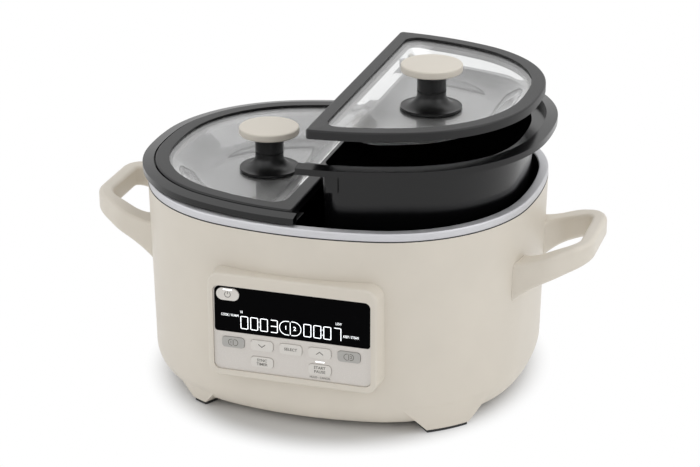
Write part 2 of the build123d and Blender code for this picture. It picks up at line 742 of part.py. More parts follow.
def make_cord_gland():
    flange = rod_y(GLAND_R, BODY_HALF_DEPTH / 2, GLAND_BACK_Y, 0, GLAND_Z) - outside
    edge = flange.faces().sort_by(Axis.Y)[-1].outer_wire().edges()
    flange = fillet(edge, WALL / 2)
    neck_front = BODY_HALF_DEPTH - BODY_DRAFT_INSET - 2 * WALL
    neck = rod_y(GLAND_NECK_R, neck_front, GLAND_BACK_Y - WALL, 0, GLAND_Z)
    return flange + neck - rod_y(GLAND_BORE_R, 0, FAR, 0, GLAND_Z)


def make_handle():
    outer = [
        (HANDLE_ROOT_X, -HANDLE_ROOT_HALF),
        (HANDLE_MIDDLE_X, -HANDLE_MIDDLE_HALF),
        (HANDLE_REACH, -HANDLE_CORNER_HALF),
    ]
    grip_inner = HANDLE_REACH - HANDLE_GRIP
    inner = [
        (HANDLE_HOLE_X, -HANDLE_MIDDLE_HALF + HANDLE_LEG),
        (grip_inner, -HANDLE_CORNER_HALF + HANDLE_LEG / 2),
    ]

    def loop_face(points, corner):
        mirrored = [(x, -y) for x, y in reversed(points)]
        face = make_face(Polyline(*points, *mirrored, close=True))
        return fillet(face.vertices().filter_by_position(Axis.X, HANDLE_BEND_X, FAR), corner)

    hole = loop_face(inner, HANDLE_HOLE_ROUND)
    hole = fillet(hole.vertices().filter_by_position(Axis.X, 0, HANDLE_BEND_X), HANDLE_ROOT_ROUND)
    strap = loop_face(outer, HANDLE_CORNER) - hole
    strap = plate(strap, 0, SEAM_Z)
    far_x = HANDLE_REACH + HANDLE_GRIP
    low_edge = Spline(
        (HANDLE_ROOT_X, HANDLE_LOW_ROOT_Z - HANDLE_LEG),
        (HANDLE_BEND_X, HANDLE_LOW_BEND_Z),
        (HANDLE_MIDDLE_X, (HANDLE_LOW_BEND_Z + HANDLE_LOW_GRIP_Z) / 2),
        (HANDLE_REACH, HANDLE_LOW_GRIP_Z),
    )
    top_edge = Spline(
        (HANDLE_ROOT_X, HANDLE_TOP_ROOT_Z),
        (HANDLE_BEND_X, HANDLE_TOP_ROOT_Z),
        (HANDLE_MIDDLE_X, (HANDLE_TOP_ROOT_Z + HANDLE_TOP_GRIP_Z) / 2),
        (HANDLE_REACH, HANDLE_TOP_GRIP_Z),
    )
    side = make_face(
        [
            low_edge,
            Polyline(low_edge @ 1, (far_x, HANDLE_LOW_GRIP_Z), (far_x, HANDLE_TOP_GRIP_Z), top_edge @ 1),
            top_edge,
            Line(top_edge @ 0, low_edge @ 0),
        ]
    )
    handle = strap & panel_plate(side, -FAR, FAR)
    free_edges = handle.edges().filter_by(lambda edge: edge.center().X > HANDLE_ROOT_X + 1)
    handle = fillet(free_edges, HANDLE_EDGE_ROUND)
    handle = handle - outside
    for y in (-HANDLE_SCREW_Y, HANDLE_SCREW_Y):
        handle = handle - rod_x(HANDLE_SCREW_R, 0, HANDLE_SCREW_END, y, HANDLE_SCREW_Z)
    return handle


def make_handle_screw(y):
    wall_inside = BODY_HALF_LENGTH - WALL
    head = rod_x(HANDLE_SCREW_HEAD_R, wall_inside - 8 * WALL, wall_inside + WALL, y, HANDLE_SCREW_Z)
    inner = body_volume(WALL)
    head = (head & inner) - body_volume(WALL + HANDLE_SCREW_HEAD)
    shank = rod_x(HANDLE_SCREW_R, 0, HANDLE_SCREW_END, y, HANDLE_SCREW_Z)
    return head + (shank - body_volume(WALL + HANDLE_SCREW_HEAD))


def mouth_outline(inset, corner):
    """Mouth of the right pot drawn in by an inset."""
    return half_rim(POT_RIM_WIDTH + POT_WALL + inset, POT_MIDDLE_X + POT_WALL + inset, corner)


def make_pot():
    """Right pot in its seat."""
    lip_top = RING_TOP_Z + LIP_OUTER_RISE
    rim = plate(rim_oval(), RING_TOP_Z, lip_top)
    rim = rim + frustum(rim_oval(), lip_top, rim_oval(LIP_WIDTH), RING_TOP_Z + LIP_INNER_RISE)
    rim = rim - plate(rim_oval(LIP_WIDTH), LEDGE_Z, FAR)
    rim = rim - plate(rim_oval(-1) - rim_oval(LIP_SEAT_INSET), 0, RING_TOP_Z + LIP_SHADOW_GAP)
    rim = rim & block(EAR_END_X + FAR / 2, 0, 0, FAR, FAR, FAR)
    rim = rim - block(EAR_END_X, 0, 0, 2 * (POT_MIDDLE_X - EAR_END_X), 2 * EAR_HALF_WIDTH_CUT, FAR)
    low = half_rim(POT_RIM_WIDTH + POT_TAPER_INSET, POT_MIDDLE_X + POT_TAPER_INSET / 2, POT_CORNER)
    wall = frustum(low, POT_BOTTOM_Z, half_rim(POT_RIM_WIDTH, POT_MIDDLE_X, POT_CORNER), LEDGE_Z)
    wall = fillet(wall.faces().sort_by(Axis.Z)[0].edges(), POT_FLOOR_ROUND)
    inside = POT_RIM_WIDTH + POT_WALL
    low = half_rim(inside + POT_TAPER_INSET, POT_MIDDLE_X + POT_WALL + POT_TAPER_INSET / 2, MOUTH_CORNER)
    mouth = mouth_outline(0, MOUTH_CORNER)
    hollow = frustum(low, POT_BOTTOM_Z + POT_FLOOR, mouth, LEDGE_Z)
    hollow = fillet(hollow.faces().sort_by(Axis.Z)[0].edges(), POT_FLOOR_ROUND - POT_WALL)
    lugs = []
    for y in (-RIM_HALF_DEPTH, RIM_HALF_DEPTH):
        lugs.append(block(LUG_X, y, RING_TOP_Z - LUG_HEIGHT, LUG_WIDTH, 2 * inside, LUG_HEIGHT))
    for y in (-END_LUG_Y, END_LUG_Y):
        low_z = RING_TOP_Z - END_LUG_HEIGHT
        lugs.append(block(RIM_HALF_LENGTH, y, low_z, 2 * inside, LUG_WIDTH, END_LUG_HEIGHT))
    reach = plate(rim_oval(POT_RIM_WIDTH - LUG_DEPTH), 0, FAR)
    for lug in lugs:
        wall = wall + (lug & reach)
    pot = rim + wall
    return pot - hollow - plate(mouth, LEDGE_Z, FAR)


def vent_place():
    """Place on the sloping straight side of the glass dish, square to the slope."""
    x = POT_MIDDLE_X + POT_WALL + DISH_START + VENT_DROP * DISH_RUN / DISH_DEPTH
    return Location((x, VENT_Y, GLASS_TOP_Z - VENT_DROP), (0, DISH_SLOPE, 0))


def glass_edge():
    """Outer edge of the glass, held in the groove of the lid frame."""
    return mouth_outline(LID_FRAME_LAP - GLASS_BITE, LID_CORNER)


def make_lid_glass():
    """Right lid's dished glass in its seat."""
    under = GLASS_TOP_Z - GLASS_THICKNESS
    under_end = DISH_UNDER_START + DISH_RUN
    glass = plate(glass_edge(), under, GLASS_TOP_Z)
    bowl_low = mouth_outline(under_end, DISH_LOW_CORNER)
    bowl = frustum(bowl_low, DISH_Z - GLASS_THICKNESS, mouth_outline(DISH_UNDER_START, DISH_CORNER), under)
    hollow_low = mouth_outline(DISH_START + DISH_RUN, DISH_LOW_CORNER)
    hollow = frustum(hollow_low, DISH_Z, mouth_outline(DISH_START, DISH_CORNER), GLASS_TOP_Z)
    glass = glass + bowl - hollow - rod(KNOB_SCREW_R + SCREW_GAP, 0, FAR, ZONE_X)
    return glass - vent_place() * Cylinder(VENT_R + SCREW_GAP, 4 * VENT_TAIL)


def make_lid_frame():
    """Right lid's moulded frame in its seat, grooved for the glass."""
    frame = plate(half_rim(LID_INSET, LID_MIDDLE_X, LID_CORNER), LEDGE_Z, LID_TOP_Z)
    frame = fillet(frame.faces().sort_by(Axis.Z)[-1].edges(), LID_EDGE_ROUND)
    frame = frame - plate(mouth_outline(LID_FRAME_LAP, MOUTH_CORNER), 0, FAR)
    inner = mouth_outline(SKIRT_GAP + SKIRT_WALL, MOUTH_CORNER - SKIRT_WALL)
    band = mouth_outline(SKIRT_GAP, MOUTH_CORNER) - inner
    frame = frame + plate(band, LEDGE_Z - SKIRT_DROP, GLASS_TOP_Z - GLASS_THICKNESS)
    return frame - plate(glass_edge(), GLASS_TOP_Z - GLASS_THICKNESS, GLASS_TOP_Z)


def make_knob_washer():
    washer = rod(WASHER_R, DISH_Z, DISH_Z + WASHER_THICKNESS, ZONE_X)
    return washer - rod(KNOB_SCREW_R + SCREW_GAP, 0, FAR, ZONE_X)


def make_knob_stem():
    """Black flared stem, turned about its own axis."""
    neck = KNOB_STEM_R
    groove = KNOB_GROOVE
    top = KNOB_STEM_HEIGHT
    flare_middle = (neck + KNOB_FLARE_WAIST, KNOB_BASE_EDGE + KNOB_FLARE_RISE)
    profile = [
        Polyline((0, top), (0, 0), (KNOB_BASE_R, 0), (KNOB_BASE_R, KNOB_BASE_EDGE)),
        ThreePointArc((KNOB_BASE_R, KNOB_BASE_EDGE), flare_middle, (neck, KNOB_FLARE_HEIGHT)),
        Polyline(
            (neck, KNOB_FLARE_HEIGHT),
            (neck, KNOB_GROOVE_Z),
            (neck - groove, KNOB_GROOVE_Z),
            (neck - groove, KNOB_GROOVE_Z + groove),
            (neck, KNOB_GROOVE_Z + groove),
            (neck, top),
            (0, top),
        ),
    ]
    upright = Plane.XZ.location * make_face(profile)
    stem = Pos(ZONE_X, 0, DISH_Z + WASHER_THICKNESS) * revolve(upright, Axis.Z)
    foot_z = DISH_Z + WASHER_THICKNESS
    stem = stem - rod(KNOB_SPIGOT_R, foot_z + top - KNOB_SPIGOT, FAR, ZONE_X)
    return stem - rod(KNOB_SCREW_R, 0, DISH_Z + KNOB_SCREW_GRIP, ZONE_X)


def make_knob_cap():
    low = DISH_Z + WASHER_THICKNESS + KNOB_STEM_HEIGHT
    disc = rod(KNOB_R, low, low + KNOB_CAP_HEIGHT, ZONE_X)
    disc = fillet(disc.edges(), KNOB_CAP_ROUND)
    return disc + rod(KNOB_SPIGOT_R, low - KNOB_SPIGOT, low + KNOB_CAP_ROUND, ZONE_X)


def make_knob_screw():
    head_top = DISH_Z - GLASS_THICKNESS
    head = rod(KNOB_SCREW_HEAD_R, head_top - KNOB_SCREW_HEAD, head_top, ZONE_X)
    return head + rod(KNOB_SCREW_R, head_top, DISH_Z + KNOB_SCREW_GRIP, ZONE_X)


def make_vent():
    tail = Cylinder(VENT_R, VENT_TAIL, align=HANGING)
    flange = Cylinder(VENT_FLANGE_R, VENT_FLANGE, align=STANDING)
    vent = tail + flange - Cylinder(VENT_BORE_R, 4 * VENT_TAIL)
    return vent_place() * vent


def save(name, shape):
    export_step(shape, f"parts/{name}.step")


def save_group(name, shapes):
    save(name, Compound(children=list(shapes)))


def save_pair(name, right_shape, lift=0.0):
    """Seated left piece and its mirror image on the right, lifted where the right set is raised."""
    save(f"left_{name}", mirror(right_shape, about=Plane.YZ))
    save(f"right_{name}", Pos(0, 0, lift) * right_shape)


os.makedirs("parts", exist_ok=True)

# Heated body
save("housing", make_housing())
save("trim_ring", make_trim_ring())
save("heating_well", make_heating_well())
save_group("feet", [make_foot(*foot) for foot in foot_places()])
save_group("foot_pads", [make_foot_pad(*foot) for foot in foot_places()])
save("bottom_cover", make_bottom_cover())
save_group("cover_screws", [make_cover_screw(*place) for place in cover_screw_places()])
save_pair("handle", make_handle())
screws = [make_handle_screw(y) for y in (-HANDLE_SCREW_Y, HANDLE_SCREW_Y)]
save_group("handle_screws", [side for screw in screws for side in both_sides(screw)])
save("cord_gland", make_cord_gland())

# Heaters and electrics
save_pair("heater", make_heater())
save_pair("sensor", make_sensor())
save_group("heater_studs", [make_heater_stud(*place) for place in stud_places()])
save_group("thermal_fuses", both_sides(make_fuse()))
save("heat_shield", make_heat_shield())
save("power_board", make_power_board())
save_group("relays", [make_relay(side) for side in (-1, 1)])
save("transformer", make_transformer())
save("panel_cable", make_panel_cable())

# Control panel
save("panel_frame", make_panel_frame())
save("fascia", make_fascia())
save("display_window", make_display_window())
save("display_module", make_display_module())
save("control_board", make_control_board())
save_group("board_screws", [make_board_screw(*place) for place in boss_places()])
switch_places = [(x, z) for _, x, z in button_places()] + [(POWER_BUTTON_X, POWER_BUTTON_Z)]
save_group("tact_switches", [make_switch(*place) for place in switch_places])
for name, x, z in button_places():
    save(name, make_button(x, z, button_outline()))
power_light = make_power_light()
save("power_button", make_button(POWER_BUTTON_X, POWER_BUTTON_Z, power_outline()) - power_light)
save("power_light", power_light)
save("start_light", make_start_light())

# Pots and lids
save_pair("pot", make_pot(), RIGHT_POT_LIFT)
save_pair("lid_frame", make_lid_frame(), RIGHT_LID_LIFT)
save_pair("lid_glass", make_lid_glass(), RIGHT_LID_LIFT)
save_pair("knob_washer", make_knob_washer(), RIGHT_LID_LIFT)
save_pair("knob_stem", make_knob_stem(), RIGHT_LID_LIFT)
save_pair("knob_cap", make_knob_cap(), RIGHT_LID_LIFT)
save_pair("knob_screw", make_knob_screw(), RIGHT_LID_LIFT)
save_pair("steam_vent", make_vent(), RIGHT_LID_LIFT)
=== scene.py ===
import json
from math import atan2, cos, hypot, pi, radians, sin, sqrt, tan

import bmesh
import bpy
from mathutils import Matrix, Vector

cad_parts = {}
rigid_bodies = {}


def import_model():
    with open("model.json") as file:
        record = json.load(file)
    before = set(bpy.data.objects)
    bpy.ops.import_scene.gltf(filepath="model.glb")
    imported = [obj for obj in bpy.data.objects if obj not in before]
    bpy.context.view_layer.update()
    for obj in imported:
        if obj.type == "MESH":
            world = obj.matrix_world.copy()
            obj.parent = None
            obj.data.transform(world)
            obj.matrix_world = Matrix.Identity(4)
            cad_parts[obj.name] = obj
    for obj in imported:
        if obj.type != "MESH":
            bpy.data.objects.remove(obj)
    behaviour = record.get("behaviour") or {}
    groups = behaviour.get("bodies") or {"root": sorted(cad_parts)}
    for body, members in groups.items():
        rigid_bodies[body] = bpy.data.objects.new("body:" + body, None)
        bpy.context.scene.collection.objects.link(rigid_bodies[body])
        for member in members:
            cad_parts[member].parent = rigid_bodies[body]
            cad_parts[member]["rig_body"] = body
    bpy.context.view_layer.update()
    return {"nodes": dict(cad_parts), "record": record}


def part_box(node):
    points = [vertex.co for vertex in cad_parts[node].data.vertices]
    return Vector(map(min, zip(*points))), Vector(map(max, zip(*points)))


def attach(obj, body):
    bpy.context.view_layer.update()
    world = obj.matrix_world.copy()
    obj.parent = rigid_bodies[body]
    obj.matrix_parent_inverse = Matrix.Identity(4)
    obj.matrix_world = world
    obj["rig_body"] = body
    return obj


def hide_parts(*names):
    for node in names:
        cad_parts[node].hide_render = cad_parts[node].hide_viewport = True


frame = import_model()

bl_info = {
    "name": "Twin Pot Slow Cooker",
    "version": (1, 0, 0),
    "blender": (4, 5, 0),
    "location": "View3D > Sidebar > Cooker",
    "description": "Dresses the packed slow cooker with its finishes, its panel signs and a studio",
    "category": "Object",
}

MM = 0.001
MERGE = 1e-6
NODES = frame["nodes"]
NODE_SLOT = {row["node"]: row["material_slot"] for row in frame["record"]["subparts"]}
MATERIALS = {}

# Edges that turn by more degrees than this stay sharp
MOULDING_SHARP = 32.0
GLASS_SHARP = 40.0

# The body's oval, which the trim ring follows
BODY_HALF_LENGTH = 176 * MM
BODY_HALF_DEPTH = 160.5 * MM
BODY_FRONT_RADIUS = 335 * MM
BODY_END_RADIUS = 320 * MM
BODY_CORNER_RADIUS = 134 * MM
RING_LOW, RING_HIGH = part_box("trim_ring")
RING_STEPS = 48
RING_EDGE_STEPS = 5

# The pots' rim, from which the glass draws in
RIM_HALF_LENGTH = 184 * MM
RIM_HALF_DEPTH = 157.6 * MM
RIM_FRONT_RADIUS = 262 * MM
RIM_END_RADIUS = 300 * MM
RIM_CORNER_RADIUS = 136 * MM

# The lids' glass, with its insets from the rim
GLASS_THICKNESS = 4 * MM
GLASS_EDGE_INSET = 14.5 * MM
GLASS_BEND_INSET = 28 * MM
GLASS_FLOOR_INSET = 52 * MM
GLASS_MIDDLE_INSET = 62 * MM
GLASS_MIDDLE_DRAW = 6.5 * MM
GLASS_EDGE_CORNER = 18 * MM
GLASS_CORNER_DRAW = -0.25
GLASS_STEPS = 24
STRAIGHT_STEPS = 12
BEND_STEPS = 6

# What the display shows
DIGIT_MIDDLE_Z = 100.7 * MM
ZONE_OVAL_X = -1.3 * MM
CLOCKS = ((-42.5 * MM, "0003"), (14.0 * MM, "0007"))
FIGURES = {"0": "abcdef", "3": "abcdg", "7": "abc"}
SEGMENTS = {
    "a": (0, 1, False), "b": (1, 0.5, True), "c": (1, -0.5, True), "d": (0, -1, False),
    "e": (-1, -0.5, True), "f": (-1, 0.5, True), "g": (0, 0, False),
}
DISPLAY_WORDS = (
    ("COOK / WARM", -55.5 * MM, 106.3 * MM), ("HI", -44.9 * MM, 110.3 * MM),
    ("LOW", 41.7 * MM, 110.3 * MM), ("KEEP / STEAM", 52.6 * MM, 99.4 * MM),
)

# The display's words are narrower and thinner than those on the keys
LEGEND_SQUEEZE = 0.7
LEGEND_WEIGHT = 0.0

# Shares of a segment's stroke: the gap to its neighbours, its end rounds and the zone oval's line
SEGMENT_GAP = 0.1
SEGMENT_ROUND = 0.4
SEGMENT_ROUND_STEPS = 3
ZONE_OVAL_STROKE = 0.85

# Shares of the digits' and the zone oval's size: a colon's dots, and the numbers' place and height
COLON_REACH = 0.2
OVAL_NUMBER_PLACE = 0.2
OVAL_NUMBER_HEIGHT = 1 / 3.5

# What the keys show
KEY_WORDS = {"select": ("SELECT",), "sync": ("SYNC", "TIMER"), "start": ("START", "PAUSE")}
CAPTION = "HOLD - CANCEL"

# Shares of a word's height: its added weight, its lines' pitch and the caption's drop
WORD_WEIGHT = 0.025
LINE_PITCH = 1.4
CAPTION_DROP = 1.6

# The height of capitals as a share of the font's size
CAPITAL_SHARE = 0.73

# The split oval's gap in strokes, and the reach of its bar as a share of its height
SPLIT_GAP = 1.6
SPLIT_BAR = 0.86
BOW_STEPS = 20

# Shares of a zone key's sign: its height, and where its number stands
ZONE_SIGN_HEIGHT = 0.68
ZONE_NUMBER_PLACE = 0.45

# The power sign's gap, and the ends of its bar as shares of the ring's radius
POWER_GAP = radians(32)
POWER_BAR = (0.1, 1.15)
POWER_STEPS = 28

# The arrow heads' rise as a share of their width, and their line in strokes
CHEVRON_RISE = 0.2
CHEVRON_STROKE = 1.2

# The cover screws' heads
CROWN_SHARE = 0.72
HEAD_STEPS = 40
SHANK_STEPS = 24

# The studio, in metres
FLOOR_REACH = 12.0
FLOOR_SEGMENTS = 8
LAMP_AIM = Vector((0.0, 0.0, 0.15))
SENSOR_WIDTH_MM = 36.0


# Small helpers

def linear(hex_colour):
    """Turn an sRGB hex colour into linear red, green, blue and alpha."""
    parts = [int(hex_colour[i:i + 2], 16) / 255 for i in (1, 3, 5)]
    return tuple(p / 12.92 if p <= 0.04045 else ((p + 0.055) / 1.055) ** 2.4 for p in parts) + (1.0,)


def add(tree, kind, links=None, values=None, **settings):
    """Add a node to a tree, set its properties and socket values, and link its inputs."""
    node = tree.nodes.new(kind)
    for name, value in settings.items():
        setattr(node, name, value)
    for socket, value in (values or {}).items():
        node.inputs[socket].default_value = value
    for socket, source in (links or {}).items():
        tree.links.new(source, node.inputs[socket])
    return node


def made(tree, kind, links=None, values=None, **settings):
    """Add a node as above and return its first output."""
    return add(tree, kind, links, values, **settings).outputs[0]


def times(tree, socket, factor):
    """A socket's value times a number."""
    return made(tree, "ShaderNodeMath", {0: socket}, {1: factor}, operation="MULTIPLY")


def finish_of(node):
    """The material of a CAD node's slot."""
    return MATERIALS[NODE_SLOT[node]]


def place(name, mesh, node, material):
    """Make a finished piece of a mesh, riding on the body of a CAD node."""
    piece = bpy.data.objects.new(name, mesh)
    bpy.context.scene.collection.objects.link(piece)
    mesh.materials.clear()
    mesh.materials.append(material)
    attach(piece, NODES[node]["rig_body"])
    return piece


def stand_in(name, mesh, node):
    """Make a piece that stands for a CAD node, with the node's own slot and finish."""
    piece = place(name, mesh, node, finish_of(node))
    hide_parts(node)
    return piece


def mesh_from(bm, name):
    """Turn a bmesh into a mesh, and free it."""
    mesh = bpy.data.meshes.new(name)
    bm.to_mesh(mesh)
    bm.free()
    return mesh


def evaluated(carrier):
    """The final mesh of an object that is there only to make it."""
    bpy.context.scene.collection.objects.link(carrier)
    bpy.context.view_layer.update()
    depsgraph = bpy.context.evaluated_depsgraph_get()
    mesh = bpy.data.meshes.new_from_object(carrier.evaluated_get(depsgraph), depsgraph=depsgraph)
    carrier.modifiers.clear()
    bpy.data.objects.remove(carrier)
    return mesh


def shade(bm, sharp_angle):
    """Smooth shading, broken at edges sharper than the angle."""
    for face in bm.faces:
        face.smooth = True
    for edge in bm.edges:
        edge.smooth = len(edge.link_faces) == 2 and edge.calc_face_angle(0.0) < radians(sharp_angle)


def welded(node):
    """A CAD node's mesh, its faces joined along their edges."""
    bm = bmesh.new()
    bm.from_mesh(NODES[node].data)
    bmesh.ops.remove_doubles(bm, verts=bm.verts, dist=MERGE)
    return bm


def moulding(node, edge_break=0.0):
    """A smooth copy of a CAD node that stands for it, its sharp edges broken by a small round when an edge
    break is given.
    """
    name = node + "_skin"
    bm = welded(node)
    shade(bm, MOULDING_SHARP)
    piece = stand_in(name, mesh_from(bm, name), node)
    if edge_break:
        bevel = piece.modifiers.new("edge_break", "BEVEL")
        bevel.width = edge_break
        bevel.segments = 2
        bevel.limit_method = "ANGLE"
        bevel.angle_limit = radians(MOULDING_SHARP)
        bevel.harden_normals = True


def quarter_boxes(node):
    """The boxes of a node's solids, one in each quarter of the plan, as lowest and highest corners."""
    quarters = {}
    for vert in NODES[node].data.vertices:
        quarters.setdefault((vert.co.x > 0, vert.co.y > 0), []).append(vert.co)
    return [[Vector(pick(p[i] for p in quarters[key]) for i in range(3)) for pick in (min, max)]
            for key in sorted(quarters)]


# Materials

def new_material(name):
    """An empty material: returns it, its tree and the Object coordinates."""
    material = bpy.data.materials.new(name)
    material.use_nodes = True
    tree = material.node_tree
    tree.nodes.clear()
    return material, tree, add(tree, "ShaderNodeTexCoord").outputs["Object"]


def principled(tree, links, values):
    """End a material's tree with a shader that takes these links and values."""
    shader = made(tree, "ShaderNodeBsdfPrincipled", links, values)
    add(tree, "ShaderNodeOutputMaterial", {"Surface": shader})


def tone(colour, factor):
    """A lighter or darker tone of a linear colour."""
    return tuple(min(1.0, c * factor) for c in colour[:3]) + (1.0,)


def per_metre(size_mm):
    """The scale that gives a texture features of this size."""
    return 1.0 / (size_mm * MM)


def noise(tree, coords, size_mm, detail):
    """A noise with features of this size, from 0 to 1 and mostly between 0.3 and 0.7."""
    return made(tree, "ShaderNodeTexNoise", {"Vector": coords},
                {"Scale": per_metre(size_mm), "Detail": detail})


def spread(tree, value, low, high, start=0.3, end=0.7):
    """A value that goes from low to high while another goes from start to end."""
    return made(tree, "ShaderNodeMapRange", {"Value": value},
                {"From Min": start, "From Max": end, "To Min": low, "To Max": high})


def two_tones(tree, value, dark, light, start=0.3, end=0.7):
    """A colour that goes from dark to light while a value goes from start to end."""
    ramp = add(tree, "ShaderNodeValToRGB", {"Fac": value})
    first, last = ramp.color_ramp.elements
    first.color = dark
    last.color = light
    first.position = start
    last.position = end
    return ramp.outputs["Color"]


def bumped(tree, height, strength, depth_mm):
    """A normal that follows a height."""
    return made(tree, "ShaderNodeBump", {"Height": height}, {"Strength": strength, "Distance": depth_mm * MM})


def moulded(name, colour, roughness, grain_mm, grain_depth_mm, mottle=0.03, cloud_mm=40.0, specular=0.5):
    """Injection-moulded plastic: an even colour with faint clouds, and a spark-eroded grain."""
    material, tree, coords = new_material(name)
    clouds = noise(tree, coords, cloud_mm, 3.0)
    grain = noise(tree, coords, grain_mm, 2.0)
    principled(tree, {
        "Base Color": two_tones(tree, clouds, tone(colour, 1 - mottle), tone(colour, 1 + mottle)),
        "Roughness": spread(tree, grain, roughness * 0.9, roughness * 1.1),
        "Normal": bumped(tree, grain, 0.35, grain_depth_mm),
    }, {"Specular IOR Level": specular})
    return material


def brushed(name, colour, roughness, line_mm, stretch, metallic=1.0, bump_depth_mm=0.004):
    """Metal or metal paint with drawn lines: a noise stretched along the line's direction."""
    material, tree, coords = new_material(name)
    drawn = made(tree, "ShaderNodeMapping", {"Vector": coords}, {"Scale": stretch})
    lines = noise(tree, drawn, line_mm, 3.0)
    principled(tree, {
        "Base Color": two_tones(tree, lines, tone(colour, 0.93), tone(colour, 1.05)),
        "Roughness": spread(tree, lines, roughness * 0.8, roughness * 1.25, 0.25, 0.75),
        "Normal": bumped(tree, lines, 0.4, bump_depth_mm),
    }, {"Metallic": metallic})
    return material


def coated(name, colour, fleck_tone, roughness, fleck_mm, flecks, grain_depth_mm, specular=0.5):
    """A sprayed, baked or printed coat: fine lighter flecks and an orange-peel surface."""
    material, tree, coords = new_material(name)
    flake = made(tree, "ShaderNodeTexVoronoi", {"Vector": coords}, {"Scale": per_metre(fleck_mm)})
    mask = spread(tree, flake, 0.0, 1.0, flecks, flecks * 0.5)
    flecked = add(tree, "ShaderNodeMix", {"Factor": mask}, {"A": colour, "B": tone(colour, fleck_tone)},
                  data_type="RGBA")
    peel = noise(tree, coords, 1.6, 2.0)
    principled(tree, {
        "Base Color": flecked.outputs["Result"],
        "Roughness": spread(tree, peel, roughness * 0.88, roughness * 1.12),
        "Normal": bumped(tree, peel, 0.3, grain_depth_mm),
    }, {"Specular IOR Level": specular})
    return material


def pressed_glass(name, colour, coat_roughness):
    """Tempered glass pressed in a mould: clear, under a soft bright reflection of the studio.

    The coat's high index gives the pale, even reflection of a glass lid under large lamps.
    """
    material, tree, coords = new_material(name)
    wipe = noise(tree, coords, 30.0, 4.0)
    principled(tree, {"Coat Roughness": spread(tree, wipe, coat_roughness * 0.9, coat_roughness * 1.1)}, {
        "Base Color": colour, "Roughness": 0.0, "Transmission Weight": 1.0, "IOR": 1.5,
        "Coat Weight": 1.0, "Coat IOR": 2.4})
    return material


def printed_window(name, colour, roughness):
    """Back-printed acrylic behind an anti-glare coat: deep black, with faint wiping marks."""
    material, tree, coords = new_material(name)
    wipe = noise(tree, coords, 18.0, 4.0)
    principled(tree, {"Roughness": spread(tree, wipe, roughness, roughness * 1.8, 0.4, 0.7)}, {
        "Base Color": colour, "IOR": 1.49, "Specular IOR Level": 0.02})
    return material


def lit(name, colour, strength):
    """A light guide that is on: close to plain white, and slightly uneven."""
    material, tree, coords = new_material(name)
    glow = noise(tree, coords, 3.0, 1.0)
    principled(tree, {"Emission Strength": spread(tree, glow, strength * 0.94, strength * 1.06)}, {
        "Base Color": colour, "Emission Color": colour, "Roughness": 0.4})
    return material


